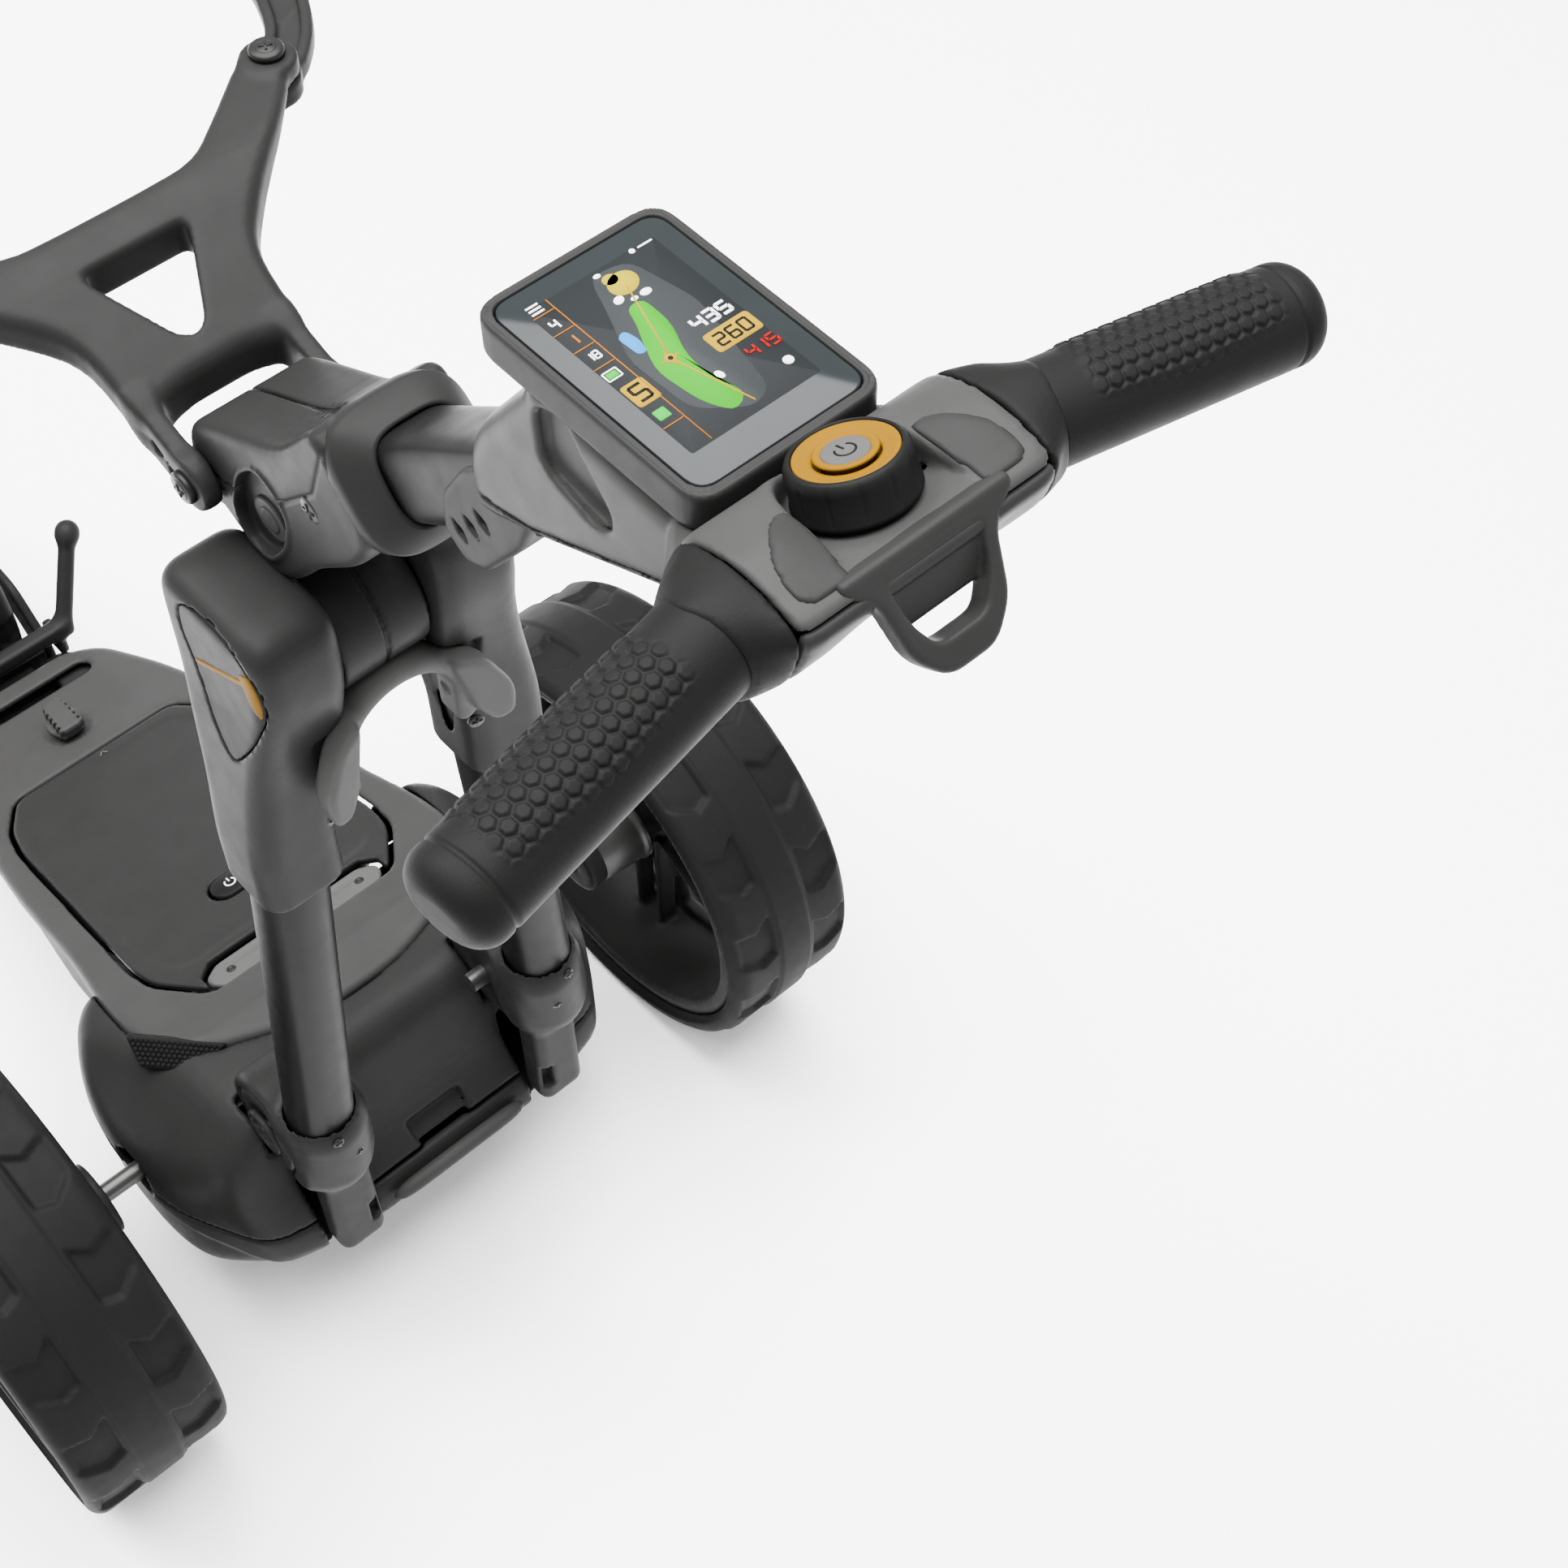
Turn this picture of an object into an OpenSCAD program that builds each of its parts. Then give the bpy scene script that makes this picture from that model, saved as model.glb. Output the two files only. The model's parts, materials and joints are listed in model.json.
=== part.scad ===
// Three-wheeled electric golf trolley that folds at the base, at the handle and at the front wheel.
// Frame: millimetres, +Z up, +Y the way it drives, +X to the driver's right, origin on the ground.

/* [Rear wheels] */
// Outer diameter of a rear tyre
rear_d = 303; // [290:1:310]
// Width of a rear tyre
rear_w = 94; // [84:1:96]
// Distance between the middles of the rear tyres
track = 480; // [476:1:500]
// Outer diameter of a rear rim
rim_d = 271; // [266:1:274]

/* [Front wheel] */
// Outer diameter of the front tyre
front_d = 224; // [210:1:226]
// Width of the front tyre
front_w = 58; // [50:1:60]
// Distance from the rear axle to the front axle
wheelbase = 551; // [545:1:560]

/* [Frame] */
// Ground line to the middle of the base fold pivot
base_z = 244; // [244:1:244]
// Ground line to the middle of the handle fold pivot
drum_z = 668; // [668:1:668]
// Slope of the battery lid, in degrees
lid_slope = 19; // [17:0.5:20]
// Thickness of the moulded shells
wall = 3.2; // [2.6:0.1:3.6]

/* [Handle] */
// Width of the handle over its end caps
handle_w = 325; // [320:1:330]
// Diameter of the speed dial
dial_d = 38; // [36:0.5:39]
// Angle that the stem tube rises at, in degrees
stem_rise = 37; // [37:1:37]

/* [Play] */
// Radial clearance of a shaft in its bore
play = 0.05; // [0.02:0.01:0.1]

/* [Hidden] */
$fn = 48;
overall_l = 1150;                      // front of the front tyre to the back of the ticket loop
axle_y = overall_l / 2 - wheelbase - front_d / 2;   // rear axle, from the middle of the length
rear_r = rear_d / 2;
front_r = front_d / 2;
half_track = track / 2;
rim_r = rim_d / 2;
axle_z = rear_r;                       // the rear axle is as high as the tyre's radius
axle_r = 6;                            // rear drive axle
base_y = -80;                          // base fold pivot, behind the rear axle
drum_y = -119;                         // handle fold pivot
drum_r = 35;
leg_low = [77, -110, 270];             // leg tube's lower end, in the socket
leg_top = [56, -126, 575];             // its upper end, in the cap
leg_r = 19;
lid_ref = [0, 109, 200];               // a point on the lid's middle line
lid_rise = tan(lid_slope);
front_pivot = [0, 418, 62];            // front fold hinge
stem_start = [0, -208, 822];           // where the stem tube leaves its collar
stem_r = 20.5;
grip_in = [52, -441, 985];             // inner end of a grip's middle line
grip_out = [handle_w / 2, -457, 973.5];
grip_r = 17.5;
cross_bar = [34, -438, 974];           // end of the core's bar, below the speed dial
dial_c = [0, -436, 991];               // foot of the speed dial
dial_tilt = 21;
display_y = -360;                      // middle of the display
yoke_pin = [0, -88, 742];              // pivot of the bag yoke on the hub
arm_pin = [108, 52, 780];              // pivot of the right upper bag arm
lock_y = 331;                          // tray lock knob
tab_y = 44;                            // hinge of the battery release tab
latch_pin = [0, -146, 606];            // pivot of the fold latch arch
tooth_n = 60;                          // teeth of the axle gear
pinion_n = 15;                         // teeth of the motor pinion
tooth_m = 1.2;                         // gear module
motor_c = [0, tooth_m * (tooth_n + pinion_n) / 2, axle_z];   // motor shaft, ahead of the axle

// ---- helpers ----

// Moves a shape drawn with the rear axle at y = 0 into the part's own frame
module from_axle() {
    translate([0, axle_y, 0]) children();
}

// Draws a shape on the right and its mirror image on the left
module both_sides() {
    children();
    mirror([1, 0, 0]) children();
}

// Cylinder along X, from x0 to x1, at the height and place p
module x_rod(p, r, x0, x1) {
    translate([x0, p[1], p[2]]) rotate([90, 0, 90]) cylinder(r = r, h = x1 - x0);
}

// Turns a shape that stands on the origin along +Z so that it runs from a towards b
module aim(a, b) {
    d = b - a;
    translate(a) rotate([0, acos(d[2] / norm(d)), atan2(d[1], d[0])]) children();
}

// Cylinder between two points
module rod(a, b, r) {
    aim(a, b) cylinder(r = r, h = norm(b - a));
}

// Rectangle with round corners, centred
module round_rect(w, l, r) {
    square([w - 2 * r, l], center = true);
    square([w, l - 2 * r], center = true);
    for (x = [-1, 1], y = [-1, 1])
        translate([x * (w / 2 - r), y * (l / 2 - r)]) circle(r);
}

// Extrudes an outline of [y, z] points along X, from -w to w
module x_slab(w) {
    translate([-w, 0, 0]) rotate([90, 0, 90]) linear_extrude(2 * w) children();
}

// Extrudes an outline of [x, z] points along Y, from y0 to y1
module y_slab(y0, y1) {
    translate([0, y1, 0]) rotate([90, 0, 0]) linear_extrude(y1 - y0) children();
}

// Both halves of an outline that is symmetric about x = 0
function mirrored(p) = concat(p, [for (i = [len(p) - 1:-1:0]) [-p[i][0], p[i][1]]]);

// Point on the right grip's middle line, t from 0 to 1
function on_grip(t) = grip_in + t * (grip_out - grip_in);

// Height of the battery lid's plane at y
function lid_z(y) = lid_ref[2] - lid_rise * (y - lid_ref[1]);

// Spur gear outline: trapezium teeth on a root circle
module gear_outline(n, m) {
    pitch_r = n * m / 2;
    circle(pitch_r - 1.2 * m);
    for (i = [0:n - 1])
        rotate(i * 360 / n)
            polygon([
                [pitch_r - 1.4 * m, -0.8 * m], [pitch_r + 0.85 * m, -0.33 * m],
                [pitch_r + 0.85 * m, 0.33 * m], [pitch_r - 1.4 * m, 0.8 * m]
            ]);
}

// ---- wheels ----

// Points of an arc about c, from angle a0 to a1
function arc(c, r, a0, a1, steps) = [for (i = [0:steps]) let (a = a0 + (a1 - a0) * i / steps)
    c + r * [cos(a), sin(a)]];

// Tyre with a raised middle band and round shoulders, its axis along X
module tyre(r, w, bead_r, shoulder) {
    h = w / 2;
    band = w * 0.13;
    crown = r - 1.2;
    flank = bead_r + 3;
    rotate([0, 90, 0])
        rotate_extrude($fn = 96)
            polygon(concat(
                [[flank, h - 7], [bead_r, h - 7], [bead_r, h - 1]],
                arc([crown - shoulder, h - shoulder], shoulder, 90, 0, 5),
                [[crown, band], [r, band - 1.5], [r, 1.5 - band], [crown, -band]],
                arc([crown - shoulder, shoulder - h], shoulder, 0, -90, 5),
                [[bead_r, 1 - h], [bead_r, 7 - h], [flank, 7 - h]]
            ));
}

// Spoked rim: barrel, outboard disc of paired spokes and a hub sleeve, its axis along X
module rim(r, w, bore, spokes) {
    hub_r = 27;
    disc_x = w * 0.2;
    difference() {
        union() {
            rotate([0, 90, 0]) rotate_extrude($fn = 96) rim_profile(r, w);
            translate([disc_x - 26, 0, 0]) rotate([0, 90, 0]) cylinder(r = hub_r, h = 40);
            translate([-w * 0.66, 0, 0]) rotate([0, 90, 0]) cylinder(r = 17, h = w * 0.7);
            for (i = [0:spokes - 1])
                rotate([i * 360 / spokes, 0, 0]) spoke(hub_r, r - 11, disc_x);
        }
        translate([-w, 0, 0]) rotate([0, 90, 0]) cylinder(r = bore, h = 2 * w);
        translate([disc_x + 0.6, 0, 0]) rotate([0, 90, 0]) cylinder(r = 15, h = 30);
    }
}

module rim_profile(r, w) {
    h = w / 2 - 4;
    polygon([
        [r, -h], [r, -h + 4], [r - 5.6, -h + 5], [r - 5.6, h - 5], [r, h - 4], [r, h],
        [r - 11, h - 2], [r - 12, h - 9], [r - 9.5, h - 12], [r - 9.5, -h + 9], [r - 11, -h]
    ]);
}

module spoke(r0, r1, x) {
    for (s = [-1, 1])
        translate([x, s * 7, 0]) rotate([s * 3.5, 0, 0])
            translate([-7, -3.5, r0 - 8]) cube([14, 7, r1 - r0 + 10]);
    translate([x - 2.5, -9, r0 - 6]) cube([5, 18, 26]);
}

module rear_tyre_shape() tyre(rear_r, rear_w, rim_r + play, 10);

module rear_rim_shape() rim(rim_r, rear_w, axle_r + play, 6);

module release_shape() {
    translate([rear_w * 0.2 + 4, 0, 0]) rotate([0, 90, 0]) {
        cylinder(r = 14.6, h = 11);
        translate([0, 0, 11]) cylinder(r = 11, h = 3);
    }
}

module at_rear_wheel(side) {
    translate([side * half_track, 0, axle_z]) mirror([side < 0 ? 1 : 0, 0, 0]) children();
}

module rear_tyre_left() color("#2f2f2f") from_axle() at_rear_wheel(-1) rear_tyre_shape();
module rear_tyre_right() color("#2f2f2f") from_axle() at_rear_wheel(1) rear_tyre_shape();
module rear_rim_left() color("#3b3b3b") from_axle() at_rear_wheel(-1) rear_rim_shape();
module rear_rim_right() color("#3b3b3b") from_axle() at_rear_wheel(1) rear_rim_shape();
module hub_release_left() color("#6b6b6b") from_axle() at_rear_wheel(-1) release_shape();
module hub_release_right() color("#6b6b6b") from_axle() at_rear_wheel(1) release_shape();

// ---- drive ----

module drive_axle() color("silver") from_axle() {
    end_x = half_track + rear_w * 0.2 - 0.5;
    x_rod([0, 0, axle_z], axle_r, -end_x, end_x);
}

module axle_gear() color("#b9a26a") from_axle()
    difference() {
        translate([24, 0, axle_z]) rotate([0, 90, 0]) linear_extrude(10) gear_outline(tooth_n, tooth_m);
        x_rod([0, 0, axle_z], axle_r, 20, 40);
        for (i = [0:5])
            translate([20, 0, axle_z]) rotate([i * 60, 0, 0])
                translate([0, 0, 21]) rotate([0, 90, 0]) cylinder(r = 7, h = 20);
    }

module motor_pinion() color("#d0c08a") from_axle()
    difference() {
        translate([23.5, motor_c[1], motor_c[2]])
            rotate([0, 90, 0]) linear_extrude(11)
                rotate(90) gear_outline(pinion_n, tooth_m);
        x_rod(motor_c, 3, 20, 40);
    }

module motor_shaft() color("silver") from_axle() x_rod(motor_c, 3, -70, 36);

module motor_can() color("#50545a") from_axle()
    difference() {
        union() {
            x_rod(motor_c, 31, -92, 12);
            x_rod(motor_c, 12, -97, -91);
        }
        x_rod(motor_c, 27.5, -88, 8);
        x_rod(motor_c, 3 + play, -75, 20);
    }

module gearbox_case() color("#8c9096") from_axle()
    difference() {
        union() {
            x_rod([0, 0, axle_z], 42, 13, 44);
            translate([13, 0, axle_z - 22]) cube([31, 64, 44]);
        }
        x_rod([0, 0, axle_z], 38.6, 17, 40);
        x_rod(motor_c, 11, 17, 40);
        x_rod([0, 0, axle_z], 11, 10, 50);
        x_rod(motor_c, 3 + play, 10, 18);
    }

module axle_bearings() color("silver") from_axle()
    for (x = [-126, 13, 37, 119])
        difference() {
            x_rod([0, 0, axle_z], x < 0 || x > 100 ? 14 : 11, x, x + 7);
            x_rod([0, 0, axle_z], axle_r + play, x - 1, x + 8);
        }

// ---- rear housing ----

// Outer form of the rear housing, shrunk on every side by t
module housing_form(t) {
    intersection() {
        x_slab(170 - t)
            polygon([
                [96 - t, 66 + t], [96 - t, 195 - t], [44, 213.4 - t], [-3, 229 - t], [-34.6 - t, 229 - t],
                [-34.6 - t, 240 - t], [-58 + t * 0.5, 240 - t], [-70 + t, 228 - t], [-86 + t, 176], [-112 + t, 141 - t],
                [-114 + t, 128 + t], [-92 + t, 112 + t], [-40, 70 + t], [20, 60 + t]
            ]);
        y_slab(-200, 200)
            polygon(mirrored([
                [90, 56 + t], [140 - t, 64 + t], [158 - t, 86], [161 - t, 150], [154 - t, 178],
                [128 - t, 214 - t], [104 - t, 236 - t], [70, 246 - t]
            ]));
        translate([0, 0, 40]) linear_extrude(230)
            polygon(mirrored([
                [70, -116 + t], [118 - t, -98 + t], [129 - t, -84 + t], [152 - t, -40],
                [161 - t, -12], [161 - t, 30], [150 - t, 64], [120, 98 - t]
            ]));
    }
}

// Room for the leg sockets where they turn in the housing
module socket_room() {
    both_sides() {
        x_rod([0, base_y, base_z], 36.6, 55, 99);
        translate([55, -130, 129]) cube([25, 56, 110]);
        translate([55, -160, 205]) cube([44, 80, 60]);
    }
}

// Room for the foot bar, which is let into the rear face
module foot_bar_room() {
    translate([-48.1, -113, 142]) rotate([0, 90, 0]) cylinder(r = 5.05, h = 96.2);
}

// Room for the tray's ring where it lies on the housing
module ring_room() {
    difference() {
        translate([0, 0, 185]) linear_extrude(80)
            polygon([for (p = tray_outline) [p[0] * 1.006, p[1] - (p[1] < 0 ? 0.5 : 0)]]);
        translate([0, 0, -8.5]) under_lid(0.6);
    }
}

// Ears that carry the inner ends of the base fold pins
module pin_ears() {
    both_sides() {
        x_rod([0, base_y, base_z], 20, 45, 54.4);
        translate([45, base_y - 16, 176]) cube([9.4, 42, 68]);
    }
}

module housing_upper() color("#3c3c3c") from_axle()
    difference() {
        union() {
            difference() {
                intersection() {
                    housing_form(0);
                    translate([-200, -200, axle_z]) cube([400, 400, 200]);
                }
                housing_form(wall);
            }
            pin_ears();
        }
        socket_room();
        x_rod([0, base_y, base_z], 6 + play, -150, 150);
        x_rod([0, 0, axle_z], 17.5, -200, 200);
        translate([-91, -12, 150]) cube([182, 140, 100]);
        translate([0, -92, 172]) rotate([-25, 0, 0]) linear_extrude(7, center = true) round_rect(52, 22, 6);
        foot_bar_room();
        ring_room();
    }

module housing_lower() color("#363636") from_axle()
    difference() {
        intersection() {
            housing_form(0);
            translate([-200, -200, 0]) cube([400, 400, axle_z]);
        }
        housing_form(wall);
        socket_room();
        foot_bar_room();
        x_rod([0, 0, axle_z], 17.5, -200, 200);
        translate([-91, 60, 90]) cube([182, 60, 100]);
    }

module side_pads() color("#4a4a4a") from_axle()
    both_sides()
        translate([125, 0, 220.5]) rotate([0, 40, 0]) rotate([0, 0, 90])
            linear_extrude(2.4) polygon([[-26, -6], [26, -6], [18, 6], [-26, 6]]);

module foot_bar() color("#444444") from_axle()
    translate([-48, -113, 142]) rotate([0, 90, 0]) cylinder(r = 5, h = 96);

// ---- battery tray ----

tray_outline = mirrored([
    [109, -34], [118, 20], [116, 70], [108, 130], [106, 200], [96, 285], [84, 345], [66, 400], [44, 418]
]);

well_outline = mirrored([[66, 26], [88, 60], [91, 84], [85, 240], [80, 265], [62, 293]]);

// Slot in the front of the tray to lift it by
module carry_slot() {
    translate([0, 388, 40]) linear_extrude(120) round_rect(96, 16, 7.9);
}

// Everything below the sloping top face of the tray, lowered by t
module under_lid(t) {
    x_slab(200)
        polygon([
            [-80, 60], [-80, 238 - t], [-4, 238 - t], [420, lid_z(420) - t], [440, 60]
        ]);
}

module tray_base() color("#3a3a3a") from_axle()
    difference() {
        intersection() {
            translate([0, 0, 58]) linear_extrude(140)
                polygon(mirrored([
                     [88, 99], [97, 130], [96, 200], [87, 285], [74, 345], [58, 398], [48, 430]
                 ]));
            translate([0, 0, -9]) under_lid(0);
        }
        translate([0, 0, 62]) linear_extrude(200)
            polygon(mirrored([[84, 103], [93.5, 134], [92.5, 200], [83.5, 285], [66, 320], [56, 322]]));
        x_rod(front_pivot, 7.2, -60, 60);
        translate([-25, 391, 40]) cube([50, 50, 70]);
        carry_slot();
        translate([0, lock_y, lid_z(lock_y) - 24]) cylinder(r = 12, h = 40);
    }

module tray_surround() color("#5b5b5b") from_axle()
    difference() {
        intersection() {
            translate([0, 0, 60]) linear_extrude(220) polygon(tray_outline);
            under_lid(0);
        }
        translate([0, 0, -8]) under_lid(0.6);
        translate([0, 0, 50]) linear_extrude(260) polygon([for (p = well_outline) [p[0] * 1.012, p[1]]]);
        carry_slot();
        translate([0, lock_y, 60]) cylinder(r = 6 + play, h = 100);
        socket_room();
        translate([-52, -200, 200]) cube([104, 168, 60]);
    }

module battery_socket() color("#262626") from_axle()
    difference() {
        translate([-28, 104, 62.2]) cube([56, 16, 34]);
        translate([-22, 114, 68]) cube([44, 8, 22]);
    }

module control_board() color("#2f6b3a") from_axle() {
    translate([-52, -52, 198]) cube([104, 36, 1.6]);
    translate([-44, -44, 199.6]) cube([18, 18, 9]);
    translate([-12, -46, 199.6]) cube([28, 22, 6]);
}

module tray_lock_knob() color("#505050") from_axle() {
    top = lid_z(lock_y);
    translate([0, lock_y, 0]) {
        translate([0, 0, top - 15]) cylinder(r = 6, h = 23);
        translate([0, 0, top - 2]) hull() {
            translate([0, 12, 8]) cylinder(r = 7, h = 5, $fn = 24);
            translate([0, -8, 11]) cylinder(r = 9, h = 6, $fn = 24);
            translate([0, 0, 7.5]) cylinder(r = 9, h = 4, $fn = 24);
        }
        translate([0, 0, top - 22]) cylinder(r = 11, h = 7.6);
    }
}

// ---- battery ----

module battery_form(side, z0, drop) {
    intersection() {
        translate([0, 0, z0]) linear_extrude(220)
            polygon([for (p = well_outline) [p[0] - sign(p[0]) * side, p[1] + (p[1] > 150 ? -side : side)]]);
        translate([0, 0, -drop]) under_lid(0);
    }
}

module battery_case() color("#303030") from_axle()
    difference() {
        intersection() {
            battery_form(2.2, 63, 6);
            translate([-200, 128, 0]) cube([400, 155, 200]);
        }
        translate([-80, 132, 67]) cube([160, 128, 85]);
    }

module battery_lid() color("#3f3f3f") from_axle()
    difference() {
        battery_form(1.6, 60, -1.5);
        translate([0, 0, -5.9]) under_lid(0);
        translate([0, 30, 190]) linear_extrude(80)
            polygon([[-64, -30], [64, -30], [64, 10], [54, 18], [-54, 18], [-64, 10]]);
        translate([0, 98, 170]) linear_extrude(60) round_rect(22, 12, 5.9);
    }

module battery_cells() color("#5d7f9c") from_axle()
    for (x = [-66:22:66], y = [146, 168, 190, 212, 234])
        translate([x, y, 68]) cylinder(r = 10, h = 65);

module battery_release_tab() color("#8f8f8f") from_axle() {
    intersection() {
        translate([0, 31, 196]) linear_extrude(60)
            polygon(mirrored([[58, -3.5], [63, 2], [63, 9], [56, tab_y - 31]]));
        difference() {
            translate([0, 0, -3]) under_lid(0);
            translate([0, 0, -9]) under_lid(0);
        }
    }
    x_rod([0, tab_y, lid_z(tab_y) - 6], 2.9, -53, 53);
}

module battery_button() color("#2c2c2c") from_axle()
    translate([0, 98, lid_z(98) - 5.5]) linear_extrude(7) round_rect(21, 11, 5.4);

// ---- front frame ----

module front_beam() color("#3c3c3c") from_axle()
    difference() {
        union() {
            x_rod(front_pivot, 17, -24.5, 24.5);
            translate([-22, front_pivot[1], front_pivot[2] - 14]) cube([44, 20, 30]);
            translate([-36, front_pivot[1] + 16, front_pivot[2] - 12]) cube([72, 12, 34]);
        }
        x_rod(front_pivot, 7 + play, -40, 40);
        translate([-31, front_pivot[1] + 23, 40]) cube([62, 30, 80]);
    }

module front_pin() color("silver") from_axle() x_rod(front_pivot, 7, -46, 46);

module front_fork() color("#404040") from_axle()
    difference() {
        both_sides()
            translate([36.5, 0, 0]) fork_cheek();
        x_rod([0, wheelbase, front_r], 5, -60, 60);
    }

// One cheek of the front fork: a flat bar from the beam to the front axle
module fork_cheek() {
    rotate([90, 0, 90]) linear_extrude(7)
        polygon([
            [434, 52], [434, 84], [468, 122], [540, 128], [564, 122], [566, 100], [552, 96],
            [480, 90], [452, 56]
        ]);
    x_rod([0, wheelbase, front_r], 16, 0, 9);
}

module front_axle() color("silver") from_axle() {
    x_rod([0, wheelbase, front_r], 5, -49, 49);
    both_sides() x_rod([0, wheelbase, front_r], 9, 45.6, 49.4);
}

module front_tyre() color("#2f2f2f") from_axle()
    translate([0, wheelbase, front_r]) tyre(front_r, front_w, 83, 11);

module front_rim() color("#3b3b3b") from_axle()
    translate([0, wheelbase, front_r])
        difference() {
            union() {
                rotate([0, 90, 0]) rotate_extrude($fn = 96)
                    polygon([
                        [83, -24], [83, 24], [77, 24], [75, 19], [77, 16], [77, -16], [75, -19], [77, -24]
                    ]);
                translate([-26, 0, 0]) rotate([0, 90, 0]) cylinder(r = 17, h = 52);
                for (i = [0:5])
                    rotate([i * 60, 0, 0]) translate([-8, -4, 12]) cube([16, 8, 66]);
            }
            translate([-40, 0, 0]) rotate([0, 90, 0]) cylinder(r = 5 + play, h = 80);
        }

module lower_cradle() color("#3c3c3c") from_axle() {
    translate([-58, 424, 96]) cube([116, 12, 12]);
    both_sides() {
        rod([54, 430, 102], [86, 452, 158], 6);
        translate([86, 452, 158]) sphere(9);
        translate([44, 424.5, 80]) cube([7, 22, 20]);
    }
}

// ---- legs ----

module base_pins() color("silver") from_axle()
    both_sides() x_rod([0, base_y, base_z], 6, 46, 96.5);

module pivot_caps() color("#333333") from_axle()
    both_sides()
        difference() {
            x_rod([0, base_y, base_z], 15, 96.6, 100.5);
            for (i = [0:2])
                translate([98.5, base_y, base_z]) rotate([i * 120 + 30, 0, 0])
                    translate([0, 0, 7.5]) rotate([0, 90, 0]) cylinder(r = 3.4, h = 4);
        }

module leg_sockets() color("#3a3a3a") from_axle()
    both_sides()
        difference() {
            union() {
                x_rod([0, base_y, base_z], 36, 57, 96);
                rod([leg_low[0], leg_low[1], 240] , [leg_low[0] - 1.6, leg_low[1] - 1.4, 296], 24.5);
                translate([57, -109, 133]) cube([20, 14, 110]);
            }
            rod(leg_low, leg_top, leg_r);
            x_rod([0, base_y, base_z], 6 + play, 40, 110);
        }

module leg_tubes() color("#4a4a4a") from_axle()
    both_sides()
        difference() {
            rod(leg_low, leg_top, leg_r);
            rod(leg_low - [0, 0, 5], leg_top + [0, 0, 5], leg_r - 2.2);
        }

module leg_caps() color("#353535") from_axle()
    both_sides()
        difference() {
            union() {
                hull() {
                    x_rod([0, drum_y - 2, drum_z + 12], 38, 23.5, 66, $fn = 32);
                    rod([59, -124, 570], [58.4, -124.5, 590], 27, $fn = 32);
                }
                rod([60, -123, 522], [58.4, -124.5, 590], 25);
            }
            rod(leg_low, leg_top, leg_r);
            x_rod([0, drum_y, drum_z], 9 + play, 0, 60);
            x_rod([0, drum_y, drum_z + 12], 31, 63.5, 72.5);
            x_rod([0, drum_y, drum_z + 12], 30, 31, 60);
            x_rod(latch_pin, 3 + play, 20, 50);
            translate([20, -180, 552]) cube([14, 58, 82]);
            translate([20, -190, 592]) cube([24.5, 39, 42]);
        }

module badge_plates() color("#2b2b2b") from_axle()
    both_sides() x_rod([0, drum_y, drum_z + 12], 30.5, 63.5, 66.5);

module drum_pin() color("silver") from_axle()
    x_rod([0, drum_y, drum_z], 9, -59, 59);

// Horseshoe latch under the drum, with a finger pad on each side
module fold_latch() color("#6a6a6a") from_axle() {
    y_slab(-156, -138)
        difference() {
            union() {
                translate([0, 598]) circle(33);
                translate([-33, 562]) square([66, 36]);
            }
            translate([0, 598]) circle(25);
            translate([-25, 540]) square([50, 58]);
        }
    both_sides() {
        translate([30, -167, 600]) cube([13, 13, 30]);
        x_rod(latch_pin, 3, 26, 42);
    }
}

// ---- hub and stem ----

// Point on the stem's middle line
function along_stem(s) = stem_start + s * [0, -cos(stem_rise), sin(stem_rise)];

module hub_block() color("#3a3a3a") from_axle()
    difference() {
        union() {
            x_slab(30)
                polygon([
                    [-88, 700], [-72, 738], [-78, 764], [-96, 775], [-150, 803], [-184, 842],
                    [-212, 800], [-196, 774], [-160, 742], [-150, 706]
                ]);
            x_rod([0, drum_y, drum_z], drum_r, -22.8, 22.8);
        }
        x_rod([0, drum_y, drum_z], 9 + play, -40, 40);
        rod(stem_start + [0, 40 * cos(stem_rise), -40 * sin(stem_rise)],
            stem_start - [0, 40 * cos(stem_rise), -40 * sin(stem_rise)], stem_r);
        x_rod(yoke_pin, 4 + play, -50, 50);
        both_sides() {
            x_rod([0, -140, 764], 14, 25, 34);
            difference() {
                x_rod([0, drum_y, drum_z], drum_r - 4, 5, 24);
                x_rod([0, drum_y, drum_z], 13, 4, 25);
            }
            difference() {
                x_rod([0, drum_y, drum_z], 64, 22.8, 40);
                translate([-50, -95, 735]) cube([100, 80, 80]);
            }
            x_slab(19) polygon([[-92, 716], [-80, 742], [-84, 758], [-112, 768], [-140, 744], [-128, 718]]);
        }
    }

module hub_collar() color("#343434") from_axle()
    difference() {
        rod(along_stem(-16), along_stem(6), 31);
        rod(along_stem(-40), along_stem(20), stem_r);
        x_slab(40)
            polygon([
                [-60, 650], [-60, 770], [-96, 776], [-150, 804], [-184.3, 842.6],
                [-212.4, 800], [-196, 773.4], [-160, 741], [-150, 700]
            ]);
    }

module stem_tube() color("#5a5e62") from_axle()
    difference() {
        rod(along_stem(-40), along_stem(150), stem_r);
        rod(along_stem(-45), along_stem(155), stem_r - 2);
    }

// ---- bag yoke ----

yoke_plan = mirrored([
    [20, -56], [41, -64], [44, -24], [62, -6], [92, 20], [112, 42],
    [98, 60], [74, 42], [46, 20], [20, 19]
]);
yoke_side = [
    [-66, 736], [-30, 757], [4, 775], [36, 786.1], [64, 786.1],
    [64, 796], [4, 794], [-30, 777], [-66, 758]
];

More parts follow.
